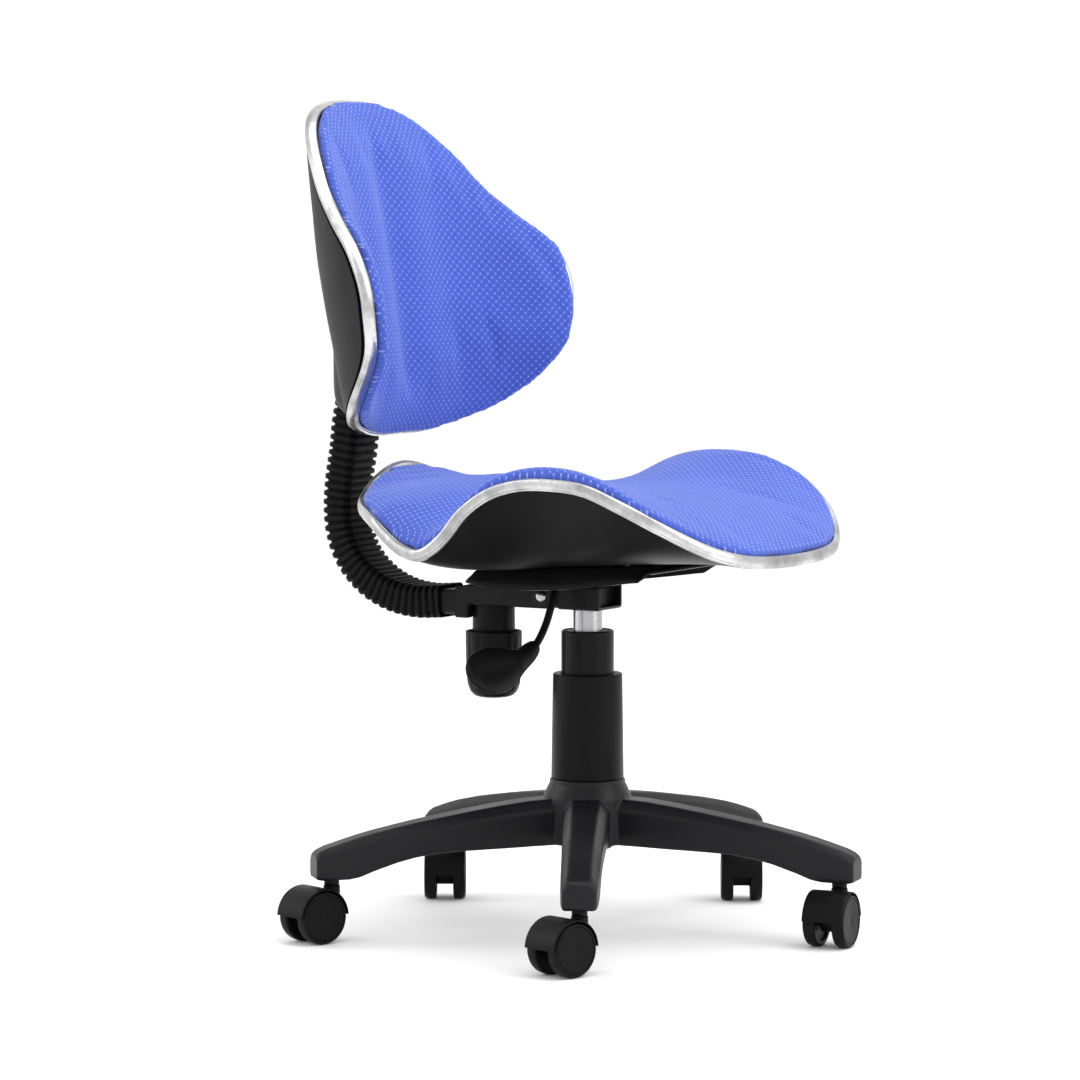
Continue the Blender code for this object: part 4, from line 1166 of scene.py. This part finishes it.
def make_back_shell():
    """The back's cover, with the slot that the bar goes in through."""
    shell = shell_form("back_cover", back_shell_point)
    section = bar_section(0.0258, 0.0168, 0.005, 0.001)
    slot = loft("slot", [bar_ring(f, section) for f in bar_frames(np.linspace(0.27, 0.322, 12))])
    combine(shell, [slot], "DIFFERENCE")
    finish_piece(shell, SHELL_PLASTIC, "back", ["back_shell"])


# The strip's section: how far out from the rim, and how far towards the pad
TRIM_SECTION = [
    (-0.0026, -0.0058), (0.0012, -0.0061), (0.0029, -0.0056), (0.0033, -0.0043),
    (0.0043, -0.0037), (0.0047, -0.0012), (0.0046, 0.0016), (0.0038, 0.0042),
    (0.0018, 0.0055), (-0.0004, 0.0055), (-0.0024, 0.0044), (-0.0036, 0.002),
    (-0.0036, -0.003),
]
TRIM_STEPS = 320


def sweep_trim(name, line, pad_normal, middle):
    """The strip's section swept around a rim, upright along pad_normal(n) at each point."""
    count = len(line)
    section = smooth_line(TRIM_SECTION, 3, closed=True)
    rings = []
    for n in range(count):
        along = Vector(line[(n + 1) % count] - line[n - 1]).normalized()
        normal = Vector(pad_normal(n))
        normal = (normal - along * normal.dot(along)).normalized()
        out = along.cross(normal).normalized()
        if out.dot(Vector(line[n]) - Vector(middle)) < 0:
            out = -out
        rings.append([Vector(line[n]) + out * a + normal * b for a, b in section])
    return loft(name, rings, "joined")


def back_rim(count):
    return [np.array(back_point(n / count, 1.0, 0.0)) for n in range(count)]


def make_seat_trim():
    line = [SEAT_LINE(n / TRIM_STEPS) for n in range(TRIM_STEPS)]
    strip = sweep_trim("seat_strip", line, lambda n: UP, (*SEAT_CENTRE, 0.39))
    finish_piece(strip, CHROME_TRIM, "seat", ["seat_trim"], 60)


def make_back_trim():
    line = back_rim(TRIM_STEPS)

    def ahead(n):
        x, _, z = line[n]
        tilt = math.atan(back_slope(x, z))
        return (-math.copysign(math.sin(tilt), x), -math.cos(tilt), 0)

    strip = sweep_trim("back_strip", line, ahead, (0, BACK_LOW_Y, BACK_CENTRE_Z))
    finish_piece(strip, CHROME_TRIM, "back", ["back_trim"], 60)


# ---- pads


def pad_form(name, top_point, low_point):
    """A closed pad: its top and its underside meet at the rim."""
    made = bmesh.new()
    top = dish(made, top_point, 128, 22)
    low = dish(made, low_point, 128, 22)
    skirt(made, top, low)
    bmesh.ops.recalc_face_normals(made, faces=made.faces)
    return from_bmesh(name, made)


def coordinates(item):
    found = np.empty(len(item.data.vertices) * 3)
    item.data.vertices.foreach_get("co", found)
    return found.reshape(-1, 3)


def move_to(item, points):
    item.data.vertices.foreach_set("co", np.asarray(points, float).ravel())
    item.data.update()


def inflate(item, rim, margin, ahead):
    """Swells the pad as cloth under pressure, held near its rim and wherever it faces back."""
    modify(item, "REMESH", mode="VOXEL", voxel_size=PAD_VOXEL)
    group = item.vertex_groups.new(name="held")
    for vertex in item.data.vertices:
        near = np.min(np.linalg.norm(rim - np.array(vertex.co), axis=1))
        if vertex.normal.dot(ahead) < -0.1 or near < margin:
            group.add([vertex.index], 1.0, "REPLACE")
    start = coordinates(item)
    step = item.modifiers.new("cloth", "CLOTH")
    for key, value in CLOTH_SETTINGS.items():
        setattr(step.settings, key, value)
    step.settings.effector_weights.gravity = 0
    scene = bpy.context.scene
    for number in range(1, CLOTH_FRAMES + 1):
        scene.frame_set(number)
    settle(item)
    scene.frame_set(1)
    moved = coordinates(item) - start
    length = np.linalg.norm(moved, axis=1, keepdims=True)
    share = np.minimum(1.0, PUFF_LIMIT / np.maximum(length, 1e-9))
    move_to(item, start + moved * share)


def height_map(item, middle, across, along, ahead, marks):
    """How far the item comes out ahead of its middle at each pair of marks, NaN where it misses."""
    made = bmesh.new()
    made.from_mesh(item.data)
    tree = BVHTree.FromBMesh(made)
    made.free()
    heights = np.full((len(marks), len(marks)), np.nan)
    for i, a in enumerate(marks):
        for j, b in enumerate(marks):
            start = middle + across * a + along * b + ahead
            hit = tree.ray_cast(start, -ahead)[0]
            if hit is not None:
                heights[i, j] = (hit - middle).dot(ahead)
    return heights


def walked(heights, step):
    """The distance over the surface from the middle mark, along the first axis."""
    change = np.clip(np.nan_to_num(np.diff(heights, axis=0)), -0.02, 0.02)
    total = np.cumsum(np.sqrt(step**2 + change**2), axis=0)
    total = np.concatenate([np.zeros_like(total[:1]), total])
    return total - total[len(heights) // 2]


def lay_cloth(item, across, along, ahead, reach=0.3, step=0.004):
    """Gives each vertex its place on the flat cloth, in metres, as the UV map "weave".

    The distances are walked over the face that looks along ahead.
    """
    middle = sum((Vector(c) for c in item.bound_box), Vector()) / 8
    marks = np.linspace(-reach, reach, int(2 * reach / step) + 1)
    heights = height_map(item, middle, across, along, ahead, marks)
    points = coordinates(item) - np.array(middle)
    most = len(marks) - 1.001
    a = np.clip((points @ np.array(across) + reach) / step, 0, most)
    b = np.clip((points @ np.array(along) + reach) / step, 0, most)
    i, j = a.astype(int), b.astype(int)
    u, v = a - i, b - j
    flat = [
        grid[i, j] * (1 - u) * (1 - v) + grid[i + 1, j] * u * (1 - v)
        + grid[i, j + 1] * (1 - u) * v + grid[i + 1, j + 1] * u * v
        for grid in (walked(heights, step), walked(heights.T, step).T)
    ]
    layer = item.data.uv_layers.new(name="weave")
    corners = np.empty(len(item.data.loops), np.int32)
    item.data.loops.foreach_get("vertex_index", corners)
    layer.data.foreach_set("uv", np.stack(flat, axis=1)[corners].ravel())


def puffed_pad(name, top_point, low_point, rim, margin, along, ahead):
    """A cushion: its form puffed up, smoothed and given the weave."""
    along, ahead = Vector(along), Vector(ahead)
    pad = pad_form(name, top_point, low_point)
    inflate(pad, np.array(rim), margin, ahead)
    modify(pad, "SUBSURF", levels=1)
    lay_cloth(pad, Vector((1, 0, 0)), along, ahead)
    return pad


def seat_top(t, reach):
    x, y, rim_z = seat_point(t, reach)
    height = math.sqrt(max(1 - reach**2, 0))
    return x, y, seat_dish(rim_z, reach) + SEAT_PAD_EDGE + pad_crown(x, y) * height**0.62


def seat_under(t, reach):
    """The pad's underside: over the board in the pan, and drawn in to the rim at its edge."""
    inner = min(0.945 * reach**0.8 + 0.052 * max(reach - 0.85, 0) / 0.15, 0.997)
    x, y, rim_z = seat_point(t, inner)
    floor = seat_floor(y, rim_z, inner) + 0.0094 + 0.012 * inner**2
    return x, y, min(floor, seat_dish(rim_z, inner) + 0.002)


def make_seat_pad():
    rim = [SEAT_LINE(n / RIM_STEPS) for n in range(RIM_STEPS)]
    pad = puffed_pad("seat_cushion", seat_top, seat_under, rim, 0.011, (0, 1, 0), (0, 0, 1))
    finish_piece(pad, FABRIC, "seat", ["seat_pad"], 180)


def bolster(x, z):
    """The two lobes of the backrest, and the valley between them down its middle."""
    fade = limited((z - 0.485) / 0.04) * limited((0.775 - z) / 0.05)
    valley = -0.008 * bell(x, 0.018)
    lobe = 0.0045 * bell(abs(x) - 0.045, 0.024)
    return fade * (valley + lobe)


def back_top(t, reach):
    height = math.sqrt(max(1 - reach**2, 0))
    ahead = 0.0085 + 0.0215 * height**0.55 + bolster(*back_place(t, reach))
    return back_point(t, BACK_PAD_REACH * reach, ahead)


def back_under(t, reach):
    edge = max(reach - 0.85, 0) / 0.15
    inner = 0.95 * reach**0.8 + 0.072 * edge
    return back_point(t, inner, 0.0012 + 0.0065 * edge**2)


def make_back_pad():
    rim = back_rim(RIM_STEPS)
    pad = puffed_pad("back_cushion", back_top, back_under, rim, 0.013, (0, 0, 1), (0, -1, 0))
    finish_piece(pad, FABRIC, "back", ["back_pad"], 180)


# ---- carried-over nodes


CARRIED = [
    (STEEL_BLACK, ["lift_housing", "tilt_bracket"]),
    (BOARD, ["seat_board", "back_board"]),
    (STEEL_BRIGHT, [
        "piston_rod", "thrust_bearing", "retaining_clip", "release_pin", "tension_bolt",
        "spring_seat", "tension_spring", "back_stud_plate",
        *(f"caster_axle_{n}" for n in range(1, 6)),
    ]),
]


def dress_nodes():
    """Gives each CAD node that stays the material of its finished neighbours."""
    for material, names in CARRIED:
        for name in names:
            materials = NODES[name].data.materials
            materials.clear()
            materials.append(material)


make_camera()
make_stage()
make_base()
make_casters()
make_gas_lift()
make_tray()
make_bolts()
make_pivot_pin()
make_knob()
make_lever_rod()
make_lever_grip()
make_bar()
make_bellows()
make_seat_shell()
make_back_shell()
make_seat_trim()
make_back_trim()
make_seat_pad()
make_back_pad()
dress_nodes()
